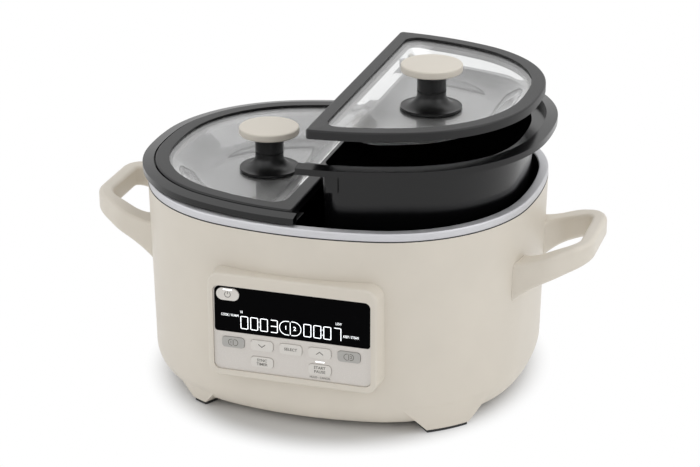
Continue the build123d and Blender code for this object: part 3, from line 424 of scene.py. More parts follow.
def make_materials(colours):
    """One material for each of the record's slots, and the ink of the panel's signs.

    After the colour come, for moulded, the roughness, the grain's size and depth in mm, the mottle and
    the clouds' size in mm; for brushed, the roughness, the lines' width in mm, their stretch, how
    metallic it is and the bump's depth in mm; for coated, the flecks' tone, the roughness, the flecks'
    spacing in mm and share, the peel's depth in mm and the reflection.
    """
    along_ring = (0.03, 0.03, 1.0)
    even = (1.0, 1.0, 1.0)
    return {
        # Satin moulded ABS, spark-eroded mould: a soft sheen, drawn coarser than its real 0.1 mm grain.
        "cream_plastic": moulded("satin_cream_abs", colours.cream, 0.42, 0.7, 0.03, 0.018),
        # Stainless band, brushed along the ring under a satin lacquer: pale and soft, with fine lines.
        "trim_steel": brushed("brushed_stainless_trim", colours.steel, 0.5, 0.5, along_ring, 0.55),
        # Vitreous enamel on sheet steel: black, with a slight orange peel.
        "well_enamel": coated("black_vitreous_enamel", colours.enamel, 2.0, 0.36, 2.2, 0.12, 0.05),
        # Sprayed non-stick coat on die-cast aluminium: satin black with fine flecks.
        "pot_coating": coated("black_nonstick_coat", colours.coating, 1.5, 0.18, 1.4, 0.14, 0.004, 0.4),
        # Glass-filled nylon: charcoal and satin, with a faint grain.
        "lid_frame_plastic": moulded("charcoal_filled_nylon", colours.lid_frame,
                                     0.42, 0.8, 0.03, 0.05, specular=0.4),
        # Clear soda-lime glass, pressed and tempered.
        "lid_glass": pressed_glass("pressed_tempered_glass", colours.glass, 0.5),
        # Phenolic moulding: black and half gloss.
        "knob_black": moulded("black_phenolic", colours.knob, 0.34, 1.0, 0.015, 0.05, specular=0.35),
        # Silicone washer: black and matt.
        "washer_rubber": moulded("black_silicone", linear("#1A1A1B"), 0.65, 0.9, 0.03, 0.05),
        # Zinc-plated steel: pale grey with a fine turned texture.
        "screw_steel": brushed("zinc_plated_steel", linear("#B9BCC0"), 0.32, 0.4, (1.0, 1.0, 0.1)),
        # Nickel-plated brass grommet: bright and smooth.
        "vent_metal": brushed("nickel_plated_brass", linear("#CDCBC6"), 0.22, 0.5, (1.0, 1.0, 0.2)),
        # Polycarbonate overlay and keys printed silver grey: even, with a very fine metal flake.
        "fascia_plastic": coated("silver_printed_overlay", colours.fascia, 1.12, 0.4, 1.0, 0.3, 0.004),
        "button_plastic": coated("silver_embossed_key", colours.button, 1.1, 0.38, 1.0, 0.3, 0.004),
        "zone_button_plastic": coated("grey_embossed_key", colours.zone_button, 1.12, 0.38, 1.0, 0.3, 0.004),
        # Acrylic window, printed black on its back.
        "window_plastic": printed_window("black_printed_acrylic", colours.window, 0.08),
        # Milky acrylic light guides, lit from behind.
        "light_plastic": lit("white_light_guide", colours.lit, 1.0),
        # Flame-retardant ABS: off-white and matt.
        "module_plastic": moulded("white_display_module", linear("#DCDCD6"), 0.5, 0.8, 0.02, 0.03),
        # Woven glass laminate under green solder resist.
        "board_laminate": moulded("green_glass_laminate", linear("#1E5B37"), 0.35, 1.2, 0.02, 0.10, 6.0),
        # Glass-filled PBT: black and half matt.
        "electric_black": moulded("black_pbt", linear("#17181A"), 0.45, 0.8, 0.02, 0.06),
        # Polyester winding tape: amber yellow with a soft gloss.
        "transformer_yellow": moulded("yellow_winding_tape", linear("#D9A521"), 0.35, 2.0, 0.03, 0.06, 8.0),
        # Die-cast aluminium: grey, with a granular skin.
        "heater_aluminium": brushed("cast_aluminium", linear("#A9ABAD"), 0.48, 1.4, even, 1.0, 0.05),
        # Galvanised sheet: cool grey with large spangles.
        "shield_steel": brushed("galvanised_sheet", linear("#AEB3B7"), 0.4, 9.0, even, 1.0, 0.01),
        # Steatite: chalky white and unglazed.
        "fuse_ceramic": moulded("steatite_ceramic", linear("#E6E2D8"), 0.6, 0.6, 0.02, 0.04),
        # Polypropylene: black, with a spark-eroded grain.
        "cover_plastic": moulded("black_polypropylene", linear("#202123"), 0.5, 0.9, 0.05, 0.06),
        # Nitrile rubber: dark grey and matt.
        "pad_rubber": moulded("dark_nitrile_rubber", linear("#242425"), 0.7, 0.8, 0.05, 0.06),
        # PVC sleeve: mid grey with a soft gloss.
        "cable_plastic": moulded("grey_pvc_cable", linear("#8B8D90"), 0.42, 1.0, 0.02, 0.05),
        # Screen-printed ink: matt, with the mesh's slight unevenness.
        "ink": moulded("grey_screen_ink", colours.ink, 0.55, 0.6, 0.01, 0.08, 3.0),
    }


# Geometry Nodes trees

def new_tree(name, lengths):
    """A node tree with named lengths and a material: returns the tree, its inputs and its output node."""
    tree = bpy.data.node_groups.new(name, "GeometryNodeTree")
    tree.interface.new_socket("Geometry", in_out="INPUT", socket_type="NodeSocketGeometry")
    for label in lengths:
        tree.interface.new_socket(label, in_out="INPUT", socket_type="NodeSocketFloat")
    tree.interface.new_socket("Material", in_out="INPUT", socket_type="NodeSocketMaterial")
    tree.interface.new_socket("Geometry", in_out="OUTPUT", socket_type="NodeSocketGeometry")
    return tree, add(tree, "NodeGroupInput").outputs, add(tree, "NodeGroupOutput")


def finish_tree(tree, geometry, given, result):
    """End a tree: real geometry with its material."""
    real = made(tree, "GeometryNodeRealizeInstances", {"Geometry": geometry})
    painted = made(tree, "GeometryNodeSetMaterial", {"Geometry": real, "Material": given["Material"]})
    tree.links.new(painted, result.inputs["Geometry"])
    return tree


def grown(name, data, tree, values):
    """Evaluate a tree on a mesh or curve and return the result as a plain mesh."""
    carrier = bpy.data.objects.new(name + "_carrier", data)
    modifier = carrier.modifiers.new("grow", "NODES")
    modifier.node_group = tree
    for item in tree.interface.items_tree:
        if item.item_type == "SOCKET" and item.in_out == "INPUT" and item.name in values:
            modifier[item.identifier] = values[item.name]
    mesh = evaluated(carrier)
    mesh.name = name
    bpy.data.node_groups.remove(tree)
    if not mesh.polygons:
        raise RuntimeError(name + ": its tree made no faces")
    return mesh


def points_mesh(name, points, turns=None):
    """A mesh of loose points, with the turn of each as an attribute."""
    mesh = bpy.data.meshes.new(name)
    mesh.from_pydata([tuple(p) for p in points], [], [])
    if turns:
        attribute = mesh.attributes.new("turn", "FLOAT_VECTOR", "POINT")
        attribute.data.foreach_set("vector", [value for turn in turns for value in turn])
    return mesh


def rounded_bar(tree, width, height, radius, steps):
    """The outline of a bar, its corners rounded by short straight runs."""
    bar = made(tree, "GeometryNodeCurvePrimitiveQuadrilateral", {"Width": width, "Height": height})
    return made(tree, "GeometryNodeFilletCurve", {"Curve": bar, "Radius": radius},
                {"Limit Radius": True, "Count": steps}, mode="POLY")


def together(tree, *parts):
    """Several geometries as one."""
    whole = add(tree, "GeometryNodeJoinGeometry")
    for part in parts:
        tree.links.new(part, whole.inputs["Geometry"])
    return whole.outputs["Geometry"]


def lifted(tree, mesh, rise):
    """A geometry moved up."""
    way = made(tree, "ShaderNodeCombineXYZ", {"Z": rise})
    return made(tree, "GeometryNodeTransform", {"Geometry": mesh, "Translation": way})


def segment_tree():
    """Display segments: round-ended bars, one on each point, turned as the point says."""
    tree, given, result = new_tree("display_segments", ("Length", "Width", "Thickness", "Corner"))
    bar = rounded_bar(tree, given["Length"], given["Width"], given["Corner"], SEGMENT_ROUND_STEPS)
    face = made(tree, "GeometryNodeFillCurve", {"Curve": bar})
    raised = made(tree, "GeometryNodeExtrudeMesh", {"Mesh": face, "Offset Scale": given["Thickness"]})
    under = made(tree, "GeometryNodeFlipFaces", {"Mesh": face})
    solid = together(tree, raised, under)
    closed = made(tree, "GeometryNodeMergeByDistance", {"Geometry": solid}, {"Distance": MERGE})
    turn = made(tree, "GeometryNodeInputNamedAttribute", values={"Name": "turn"}, data_type="FLOAT_VECTOR")
    rotation = made(tree, "FunctionNodeEulerToRotation", {"Euler": turn})
    copies = made(tree, "GeometryNodeInstanceOnPoints",
                  {"Points": given["Geometry"], "Instance": closed, "Rotation": rotation})
    return finish_tree(tree, copies, given, result)


def band_tree():
    """A rounded band swept along a closed level path, with the path in its middle."""
    tree, given, result = new_tree("swept_band", ("Width", "Height", "Edge Round"))
    section = rounded_bar(tree, given["Width"], given["Height"], given["Edge Round"], RING_EDGE_STEPS)
    upright = made(tree, "GeometryNodeSetCurveNormal", {"Curve": given["Geometry"]}, mode="Z_UP")
    swept = made(tree, "GeometryNodeCurveToMesh", {"Curve": upright, "Profile Curve": section})
    smooth = made(tree, "GeometryNodeSetShadeSmooth", {"Geometry": swept})
    return finish_tree(tree, smooth, given, result)


def screw_tree():
    """Pan-head screws with a cross recess, one on each point, heads down."""
    tree, given, result = new_tree("cover_screws", (
        "Head Radius", "Head Height", "Shank Radius", "Shank Length", "Recess Width"))
    half = times(tree, given["Head Height"], 0.5)
    crown = times(tree, given["Head Radius"], CROWN_SHARE)
    rim = made(tree, "GeometryNodeMeshCylinder",
               {"Radius": given["Head Radius"], "Depth": half}, {"Vertices": HEAD_STEPS})
    rim_up = lifted(tree, rim, times(tree, given["Head Height"], 0.75))
    dome = made(tree, "GeometryNodeMeshCone",
                {"Radius Top": given["Head Radius"], "Radius Bottom": crown, "Depth": half},
                {"Vertices": HEAD_STEPS})
    bar_size = made(tree, "ShaderNodeCombineXYZ", {"X": crown, "Y": given["Recess Width"], "Z": half})
    bar = made(tree, "GeometryNodeMeshCube", {"Size": bar_size})
    crossbar = made(tree, "GeometryNodeTransform", {"Geometry": bar}, {"Rotation": (0, 0, pi / 2)})
    cross = add(tree, "GeometryNodeMeshBoolean", operation="UNION")
    for part in (bar, crossbar):
        tree.links.new(part, cross.inputs["Mesh 2"])
    head = made(tree, "GeometryNodeMeshBoolean",
                {"Mesh 1": dome, "Mesh 2": cross.outputs["Mesh"]}, operation="DIFFERENCE")
    shank = made(tree, "GeometryNodeMeshCylinder",
                 {"Radius": given["Shank Radius"], "Depth": given["Shank Length"]}, {"Vertices": SHANK_STEPS})
    middle = times(tree, given["Shank Length"], 0.5)
    rise = made(tree, "ShaderNodeMath", {0: middle, 1: given["Head Height"]}, operation="ADD")
    whole = together(tree, head, rim_up, lifted(tree, shank, rise))
    copies = made(tree, "GeometryNodeInstanceOnPoints", {"Points": given["Geometry"], "Instance": whole})
    return finish_tree(tree, copies, given, result)


def joined(name, *meshes):
    """Several closed meshes as one, with their faces outwards."""
    bm = bmesh.new()
    for mesh in meshes:
        bm.from_mesh(mesh)
        bpy.data.meshes.remove(mesh)
    bmesh.ops.recalc_face_normals(bm, faces=bm.faces)
    return mesh_from(bm, name)


# Ovals

def arc(centre, radius, start, end, count, last=False):
    """Points of an arc in a plane, from one angle to another, without the last point unless asked."""
    turns = [start + (end - start) * i / count for i in range(count + 1 if last else count)]
    return [(centre[0] + radius * cos(turn), centre[1] + radius * sin(turn)) for turn in turns]


class Oval:
    """An oval of arcs: long front and back arcs, end arcs and four corner arcs, in metres."""

    def __init__(self, half_x, half_y, front_radius, end_radius, corner_radius):
        self.half_x = half_x
        self.half_y = half_y
        self.front_radius = front_radius
        self.end_radius = end_radius
        self.corner_radius = corner_radius
        self.front_centre = half_y - front_radius
        self.end_centre = half_x - end_radius
        self.corner = self.corner_centre()
        self.front_turn = atan2(self.corner[1] - self.front_centre, self.corner[0])
        self.end_turn = atan2(self.corner[1], self.corner[0] - self.end_centre)

    def corner_centre(self):
        """Where the corner arc is centred, so that it meets the front and the end arc smoothly."""
        to_front = self.front_radius - self.corner_radius
        to_end = self.end_radius - self.corner_radius
        across = hypot(self.end_centre, self.front_centre)
        along = (to_front ** 2 - to_end ** 2 + across ** 2) / (2 * across)
        step = Vector((self.end_centre, -self.front_centre)) / across
        middle = Vector((0.0, self.front_centre)) + along * step
        aside = sqrt(to_front ** 2 - along ** 2) * Vector((-step.y, step.x))
        return max((middle + aside, middle - aside), key=lambda p: p.x + p.y)

    def run(self, inset, until, count):
        """From the middle of the right end to this angle of the back arc, without the last point."""
        ending = arc((self.end_centre, 0), self.end_radius - inset, 0, self.end_turn, count // 4)
        turning = arc(self.corner, self.corner_radius - inset, self.end_turn, self.front_turn, count)
        backing = arc((0, self.front_centre), self.front_radius - inset, self.front_turn, until, count // 2)
        return ending + turning + backing

    def whole(self, inset, count):
        """The whole oval, anticlockwise from the right end."""
        quarter = self.run(inset, pi / 2, count)
        top = (0.0, self.half_y - inset)
        left = (-(self.half_x - inset), 0.0)
        upper = quarter + [top] + [(-x, y) for x, y in reversed(quarter[1:])] + [left]
        return upper + [(x, -y) for x, y in reversed(upper[1:-1])]

    def half(self, inset, middle, corner, count):
        """The right half, cut at x = middle, with rounded corners there, anticlockwise from the right end."""
        corner_x = middle + corner
        corner_y = self.front_centre + sqrt((self.front_radius - inset - corner) ** 2 - corner_x ** 2)
        meet = atan2(corner_y - self.front_centre, corner_x)
        rounding = arc((corner_x, corner_y), corner, meet, pi, count // 3, True)
        upper = self.run(inset, meet, count) + rounding
        straight = [(middle, corner_y * (1 - 2 * i / STRAIGHT_STEPS)) for i in range(1, STRAIGHT_STEPS)]
        return upper + straight + [(x, -y) for x, y in reversed(upper[1:])]


def rounded_line(points, radius, steps):
    """A line through points in one plane, its inner corners rounded by arcs."""
    line = [points[0]]
    for before, here, after in zip(points, points[1:], points[2:]):
        corner = Vector(here)
        into = (corner - Vector(before)).normalized()
        out = (Vector(after) - corner).normalized()
        turn = into.angle_signed(out)
        start = corner - into * (radius * tan(abs(turn) / 2))
        side = Vector((-into.y, into.x)) * (1 if turn < 0 else -1)
        centre = start + side * radius
        for i in range(steps + 1):
            spoke = start - centre
            spoke.rotate(Matrix.Rotation(-turn * i / steps, 2))
            line.append(tuple(centre + spoke))
    return line + [points[-1]]


def ring_mesh(name, rings):
    """A skin through rings of equal counts, capped at both ends, with its faces outwards."""
    bm = bmesh.new()
    rows = [[bm.verts.new(point) for point in ring] for ring in rings]
    count = len(rows[0])
    for low, high in zip(rows, rows[1:]):
        for i in range(count):
            j = (i + 1) % count
            bm.faces.new((low[i], low[j], high[j], high[i]))
    bm.faces.new(list(reversed(rows[0])))
    bm.faces.new(rows[-1])
    bmesh.ops.recalc_face_normals(bm, faces=bm.faces)
    shade(bm, GLASS_SHARP)
    return mesh_from(bm, name)


# Marks on the panel

class Print:
    """Marks printed on a face of the panel, gathered into one piece."""

    def __init__(self, face_y, depth):
        self.bm = bmesh.new()
        self.front = face_y - depth
        self.depth = depth

    def ribbon(self, points, width):
        """A stroke: a thin closed strip along points given as x and z."""
        headings = [(Vector(b) - Vector(a)).normalized() for a, b in zip(points, points[1:])]
        rows = []
        for point, behind, ahead in zip(points, headings[:1] + headings, headings + headings[-1:]):
            bisector = (ahead + behind).normalized()
            normal = Vector((-bisector.y, bisector.x))
            reach = width / 2 / max(0.5, normal.dot(Vector((-ahead.y, ahead.x))))
            sides = (Vector(point) + normal * reach, Vector(point) - normal * reach)
            levels = (self.front, self.front + self.depth)
            rows.append([self.bm.verts.new((p.x, y, p.y)) for y in levels for p in sides])
        for a, b in zip(rows, rows[1:]):
            for i, j in ((0, 1), (1, 3), (3, 2), (2, 0)):
                self.bm.faces.new((a[i], a[j], b[j], b[i]))
        for row in (rows[0], rows[-1]):
            self.bm.faces.new((row[0], row[1], row[3], row[2]))

    def word(self, word, height, centre, squeeze=1.0, weight=WORD_WEIGHT):
        """A generic word or number, its middle at the centre."""
        curve = bpy.data.curves.new("word", "FONT")
        curve.body = word
        curve.size = height / CAPITAL_SHARE
        curve.align_x = "CENTER"
        curve.align_y = "CENTER"
        curve.extrude = self.depth / 2
        curve.offset = height * weight
        curve.resolution_u = 3
        mesh = evaluated(bpy.data.objects.new("word", curve))
        stand = Matrix.Rotation(pi / 2, 4, "X") @ Matrix.Diagonal((squeeze, 1, 1, 1))
        mesh.transform(Matrix.Translation((centre[0], self.front + self.depth / 2, centre[1])) @ stand)
        self.bm.from_mesh(mesh)
        bpy.data.meshes.remove(mesh)
        bpy.data.curves.remove(curve)

    def split_oval(self, centre, half_x, half_z, width):
        """The zone sign: an oval of straight runs and round ends, cut in two by a bar."""
        x, z = centre
        radius = half_z - width / 2
        reach = half_x - width / 2 - radius
        gap = width * SPLIT_GAP
        for side in (-1, 1):
            bow = arc((x + side * reach, z), radius, pi / 2, pi / 2 - side * pi, BOW_STEPS, True)
            start = (x + side * gap, z + radius)
            end = (x + side * gap, z - radius)
            self.ribbon([start] + bow + [end] if reach > gap else bow[1:-1], width)
        bar = half_z * SPLIT_BAR
        self.ribbon([(x, z - bar), (x, z + bar)], width)

    def finish(self, name, node, material):
        """Make the marks one piece that moves with a node."""
        bmesh.ops.remove_doubles(self.bm, verts=self.bm.verts, dist=MERGE)
        bmesh.ops.recalc_face_normals(self.bm, faces=self.bm.faces)
        place(name, mesh_from(self.bm, name), node, MATERIALS[material])


# Sizes, colours and stage that a user can change

def number(name, description, default, **more):
    """A number property."""
    return bpy.props.FloatProperty(name=name, description=description, default=default, **more)


def length(name, description, default):
    """A length property in metres."""
    return number(name, description, default, unit="LENGTH", precision=5)


def colour(name, description, hex_colour):
    """A colour property, written as sRGB hex and kept as linear."""
    return bpy.props.FloatVectorProperty(name=name, description=description, default=linear(hex_colour),
                                         size=4, subtype="COLOR", min=0.0, max=1.0)


class CookerSizes(bpy.types.PropertyGroup):
    """Sizes of the details that the scene adds to the solids."""
    edge_break: length("Edge break", "Round of the sharp edges of moulded and cast pieces", 0.4 * MM)
    ring_width: length("Ring width", "Width of the trim ring's top, seen from above", 8.5 * MM)
    ring_lip: length("Ring lip", "Thickness of the trim ring's top", 2.3 * MM)
    ring_wall: length("Ring wall", "Thickness of the trim ring's wall", 3.0 * MM)
    ring_round: length("Ring round", "Round of the trim ring's outer top edge", 2.2 * MM)
    # The black band under the trim ring is a painted shadow in the seam between ring and housing
    seam_shadow_height: length("Seam height", "Height of the dark seam under the trim ring", 0.9 * MM)
    seam_shadow_depth: length("Seam depth", "Depth of the dark seam under the trim ring", 2.0 * MM)
    glass_round: length("Glass round", "Round where the dished glass bends", 24.0 * MM)
    digit_height: length("Digit height", "Height of the display's digits", 12.0 * MM)
    digit_width: length("Digit width", "Width of the display's digits", 7.0 * MM)
    digit_pitch: length("Digit pitch", "Distance from one digit to the next", 8.85 * MM)
    digit_stroke: length("Digit stroke", "Width of a display segment", 0.72 * MM)
    oval_length: length("Zone oval length", "Length of the display's split oval", 19.8 * MM)
    oval_height: length("Zone oval height", "Height of the display's split oval", 13.2 * MM)
    legend_height: length("Legend height", "Height of the display's small words", 2.4 * MM)
    word_height: length("Word height", "Height of the words on the keys", 2.6 * MM)
    caption_height: length("Caption height", "Height of the small words under the start key", 1.8 * MM)
    zone_sign: length("Zone sign", "Half length of the split ovals on the zone keys", 4.6 * MM)
    chevron: length("Chevron", "Width of the arrow heads", 6.2 * MM)
    power_sign: length("Power sign", "Width of the power key's open ring", 5.2 * MM)
    sign_stroke: length("Sign stroke", "Width of the lines printed on the keys", 0.6 * MM)
    print_depth: length("Print depth", "How far printed marks stand proud", 0.06 * MM)
    key_edge: length("Key edge", "Round of the keys' edges", 0.45 * MM)
    screw_head: length("Screw head", "Height of the cover screws' heads", 1.4 * MM)
    screw_shank: length("Screw shank", "Radius of the cover screws' shanks", 2.0 * MM)
    screw_recess: length("Screw recess", "Width of the cross recess in the cover's screws", 1.1 * MM)


class CookerColours(bpy.types.PropertyGroup):
    """Colours of the finishes."""
    cream: colour("Cream", "Housing, handles, feet, panel frame and knob caps", "#D6CFC3")
    steel: colour("Trim steel", "Trim ring", "#CBCBCE")
    enamel: colour("Enamel", "Heating well", "#0C0C0D")
    coating: colour("Pot coating", "Pots", "#070708")
    lid_frame: colour("Lid frame", "Frames of the lids", "#0E0E0F")
    glass: colour("Glass", "Glass of the lids", "#ECEDED")
    knob: colour("Knob stem", "Stems of the knobs", "#0C0C0D")
    fascia: colour("Fascia", "Printed overlay of the panel", "#D4CFC9")
    button: colour("Key", "Keys of the panel", "#D9D5CF")
    zone_button: colour("Zone key", "The two zone keys", "#AEACA8")
    window: colour("Window", "Display window", "#040405")
    lit: colour("Lit", "Digits and light bars", "#F3F6F8")
    ink: colour("Ink", "Printed signs on the keys", "#6B6963")


class CookerStage(bpy.types.PropertyGroup):
    """Camera, lamps and floor."""
    camera_place: bpy.props.FloatVectorProperty(
        name="Camera place", description="Where the camera stands", default=(0.5658, -1.8492, 0.9018),
        subtype="TRANSLATION", precision=4)
    camera_tilt: number("Camera tilt", "How far the camera is raised from looking straight down",
                        radians(68.08), subtype="ANGLE")
    camera_turn: number("Camera turn", "Turn of the camera round the upright", radians(16.99),
                        subtype="ANGLE")
    lens: number("Lens", "Focal length on a 36 mm sensor, in mm", 117.98)
    floor: colour("Floor", "Floor and backdrop", "#FFFFFF")
    # Painted shadow: the grey that the camera sees on the floor close to the object, darker than the white
    # that bounced light meets
    painted_shadow_paper: colour("Paper", "The floor close to the object", "#D6D6D6")
    # The oval round the body where the floor keeps shade, real and painted: its width, where it starts to
    # fade and where it ends
    floor_width: number("Floor width", "Width of the shaded floor, as a share of the body's length", 0.84)
    floor_near: number("Floor near", "Where the floor starts to fade, in half sizes of the body", 1.0)
    floor_far: number("Floor far", "Where the floor is plain white, in half sizes of the body", 1.27)
    sky: number("Sky", "Strength of the even light from all sides", 0.5)
    key: number("Key lamp", "Power of the large lamp above", 14.0, unit="POWER")
    left: number("Left lamp", "Power of the lamp at the left", 8.5, unit="POWER")
    right: number("Right lamp", "Power of the lamp at the right", 9.0, unit="POWER")
    front: number("Front lamp", "Power of the fill lamp in front", 6.8, unit="POWER")


# Operators

class COOKER_OT_finishes(bpy.types.Operator):
    """Make the materials and put them on every CAD node"""
    bl_idname = "cooker.finishes"
    bl_label = "Finishes"

    def execute(self, context):
        MATERIALS.update(make_materials(context.scene.cooker_colours))
        for node, piece in NODES.items():
            piece.data.materials.clear()
            piece.data.materials.append(finish_of(node))
        return {"FINISHED"}


class COOKER_OT_housing(bpy.types.Operator):
    """Dress the housing, the handles, the feet, the cover, the gland and the panel's frame"""
    bl_idname = "cooker.housing"
    bl_label = "Housing"

    def execute(self, context):
        sizes = context.scene.cooker_sizes
        for node in ("housing", "left_handle", "right_handle", "panel_frame"):
            moulding(node)
        for node in ("feet", "foot_pads", "cord_gland"):
            moulding(node, sizes.edge_break)
        moulding("bottom_cover")
        return {"FINISHED"}


class COOKER_OT_trim_ring(bpy.types.Operator):
    """Sweep the trim ring along the body's oval, and under it a black band that is a painted shadow in the
    seam
    """
    bl_idname = "cooker.trim_ring"
    bl_label = "Trim ring"

    def execute(self, context):
        sizes = context.scene.cooker_sizes
        height = RING_HIGH.z - RING_LOW.z
        lip_low = RING_HIGH.z - sizes.ring_lip
        steel = finish_of("trim_ring")
        wall = self.band("ring_wall", sizes.ring_wall, height, sizes.ring_round, RING_LOW.z, steel)
        lip = self.band("ring_lip", sizes.ring_width, sizes.ring_lip, sizes.ring_round, lip_low, steel)
        stand_in("trim_ring_band", joined("trim_ring_band", wall, lip), "trim_ring")
        # Painted shadow: a black band, standing just proud, where the seam between ring and housing is only
        # in shade
        seam_shadow_black = MATERIALS["washer_rubber"]
        seam_low = RING_LOW.z - sizes.seam_shadow_height / 2
        seam = self.band("ring_seam_shadow", sizes.seam_shadow_depth, sizes.seam_shadow_height, sizes.seam_shadow_height / 4, seam_low,
                         seam_shadow_black, sizes.print_depth)
        place("ring_seam_shadow", joined("ring_seam_shadow", seam), "trim_ring", seam_shadow_black)
        return {"FINISHED"}

    def band(self, name, width, height, edge_round, low, material, proud=0.0):
        """A band whose outer face stands on the body's oval, from a height upwards."""
        oval = Oval(RING_HIGH.x, RING_HIGH.y, BODY_FRONT_RADIUS, BODY_END_RADIUS, BODY_CORNER_RADIUS)
        points = oval.whole(width / 2 - proud, RING_STEPS)
        path = bpy.data.curves.new(name, "CURVE")
        path.dimensions = "3D"
        spline = path.splines.new("POLY")
        spline.points.add(len(points) - 1)
        for point, (x, y) in zip(spline.points, points):
            point.co = (x, y, low + height / 2, 1.0)
        spline.use_cyclic_u = True
        return grown(name, path, band_tree(), {
            "Width": width, "Height": height, "Edge Round": edge_round, "Material": material})


class COOKER_OT_pots(bpy.types.Operator):
    """Dress the heating well and the two pots"""
    bl_idname = "cooker.pots"
    bl_label = "Well and pots"

    def execute(self, context):
        for node in ("heating_well", "left_pot", "right_pot"):
            moulding(node)
        return {"FINISHED"}


class COOKER_OT_lids(bpy.types.Operator):
    """Press the dished glass, and dress the lid frames and the vents"""
    bl_idname = "cooker.lids"
    bl_label = "Lids"

    def execute(self, context):
        for side in ("left", "right"):
            moulding(side + "_lid_frame")
            moulding(side + "_steam_vent")
            self.glass(side, context.scene.cooker_sizes.glass_round)
        return {"FINISHED"}

    def glass(self, side, bend):
        """Dished glass: a flat edge held by the frame, a rounded bend and a level floor."""
        node = side + "_lid_glass"
        name = node + "_pressed"
        low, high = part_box(node)
        depth = high.z - low.z - GLASS_THICKNESS
        slope = atan2(depth, GLASS_FLOOR_INSET - GLASS_BEND_INSET)
        upper = self.face(high.z, high.z - depth, 0.0, bend)
        lower = self.face(high.z - GLASS_THICKNESS, low.z, GLASS_THICKNESS * tan(slope / 2), bend)
        rim = Oval(RIM_HALF_LENGTH, RIM_HALF_DEPTH, RIM_FRONT_RADIUS, RIM_END_RADIUS, RIM_CORNER_RADIUS)
        mirror = -1 if side == "left" else 1
        rings = []
        for inset, z in list(reversed(lower)) + upper:
            corner = GLASS_EDGE_CORNER + GLASS_CORNER_DRAW * (inset - GLASS_EDGE_INSET)
            outline = rim.half(inset, inset - GLASS_MIDDLE_DRAW, corner, GLASS_STEPS)
            rings.append([(mirror * x, y, z) for x, y in outline])
        stand_in(name, ring_mesh(name, rings), node)

    def face(self, edge_z, floor_z, draw, bend):
        """One face of the glass from its edge to its floor, as insets and heights."""
        return rounded_line([(GLASS_EDGE_INSET, edge_z), (GLASS_BEND_INSET - draw, edge_z),
                             (GLASS_FLOOR_INSET - draw, floor_z), (GLASS_MIDDLE_INSET, floor_z)],
                            bend, BEND_STEPS)


class COOKER_OT_knobs(bpy.types.Operator):
    """Dress the knobs of the lids"""
    bl_idname = "cooker.knobs"
    bl_label = "Knobs"

    def execute(self, context):
        for side in ("left", "right"):
            for part in ("knob_cap", "knob_stem", "knob_washer", "knob_screw"):
                moulding(f"{side}_{part}")
        return {"FINISHED"}


class COOKER_OT_panel(bpy.types.Operator):
    """Dress the panel's overlay, window, lights and keys"""
    bl_idname = "cooker.panel"
    bl_label = "Panel"

    def execute(self, context):
        sizes = context.scene.cooker_sizes
        for node in ("fascia", "display_window", "start_light", "power_light"):
            moulding(node)
        for key in ("power", "zone_1", "down", "select", "up", "zone_2", "sync", "start"):
            moulding(key + "_button", sizes.key_edge)
        return {"FINISHED"}


class COOKER_OT_key_signs(bpy.types.Operator):
    """Print the signs and words on the keys and the overlay"""
    bl_idname = "cooker.key_signs"
    bl_label = "Key signs"

    def execute(self, context):
        sizes = context.scene.cooker_sizes
        for key, draw in (
                ("zone_1", self.zone), ("down", self.chevron), ("select", self.words), ("up", self.chevron),
                ("zone_2", self.zone), ("sync", self.words), ("start", self.words), ("power", self.power)):
            node = key + "_button"
            low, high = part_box(node)
            sign = Print(low.y, sizes.print_depth)
            draw(sign, key, ((low.x + high.x) / 2, (low.z + high.z) / 2), sizes)
            sign.finish(key + "_sign", node, "ink")
        self.caption(sizes)
        return {"FINISHED"}

    def zone(self, sign, key, centre, sizes):
        """A small split oval with the zone's number in its own half."""
        half = sizes.zone_sign
        side = -1 if key == "zone_1" else 1
        sign.split_oval(centre, half, half * ZONE_SIGN_HEIGHT, sizes.sign_stroke)
        sign.word(key[-1], sizes.word_height, (centre[0] + side * half * ZONE_NUMBER_PLACE, centre[1]))

    def chevron(self, sign, key, centre, sizes):
        """An arrow head up or down."""
        way = 1 if key == "up" else -1
        reach = sizes.chevron / 2
        rise = sizes.chevron * CHEVRON_RISE
        run = [(centre[0] + x * reach, centre[1] + way * rise * (1 - 2 * abs(x))) for x in (-1, 0, 1)]
        sign.ribbon(run, sizes.sign_stroke * CHEVRON_STROKE)

    def words(self, sign, key, centre, sizes):
        """The key's word, on one or two lines."""
        lines = KEY_WORDS[key]
        for i, line in enumerate(lines):
            drop = (i - (len(lines) - 1) / 2) * sizes.word_height * LINE_PITCH
            sign.word(line, sizes.word_height, (centre[0], centre[1] - drop))

    def power(self, sign, key, centre, sizes):
        """An open ring with a bar in its gap."""
        radius = sizes.power_sign / 2
        sign.ribbon(arc(centre, radius, pi / 2 - POWER_GAP, POWER_GAP - 3 * pi / 2, POWER_STEPS, True),
                    sizes.sign_stroke)
        sign.ribbon([(centre[0], centre[1] + radius * end) for end in POWER_BAR], sizes.sign_stroke)

    def caption(self, sizes):
        """The small words under the start key."""
        low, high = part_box("start_button")
        sign = Print(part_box("fascia")[0].y, sizes.print_depth)
        sign.word(CAPTION, sizes.caption_height,
                  ((low.x + high.x) / 2, low.z - CAPTION_DROP * sizes.caption_height))
        sign.finish("start_caption", "fascia", "ink")


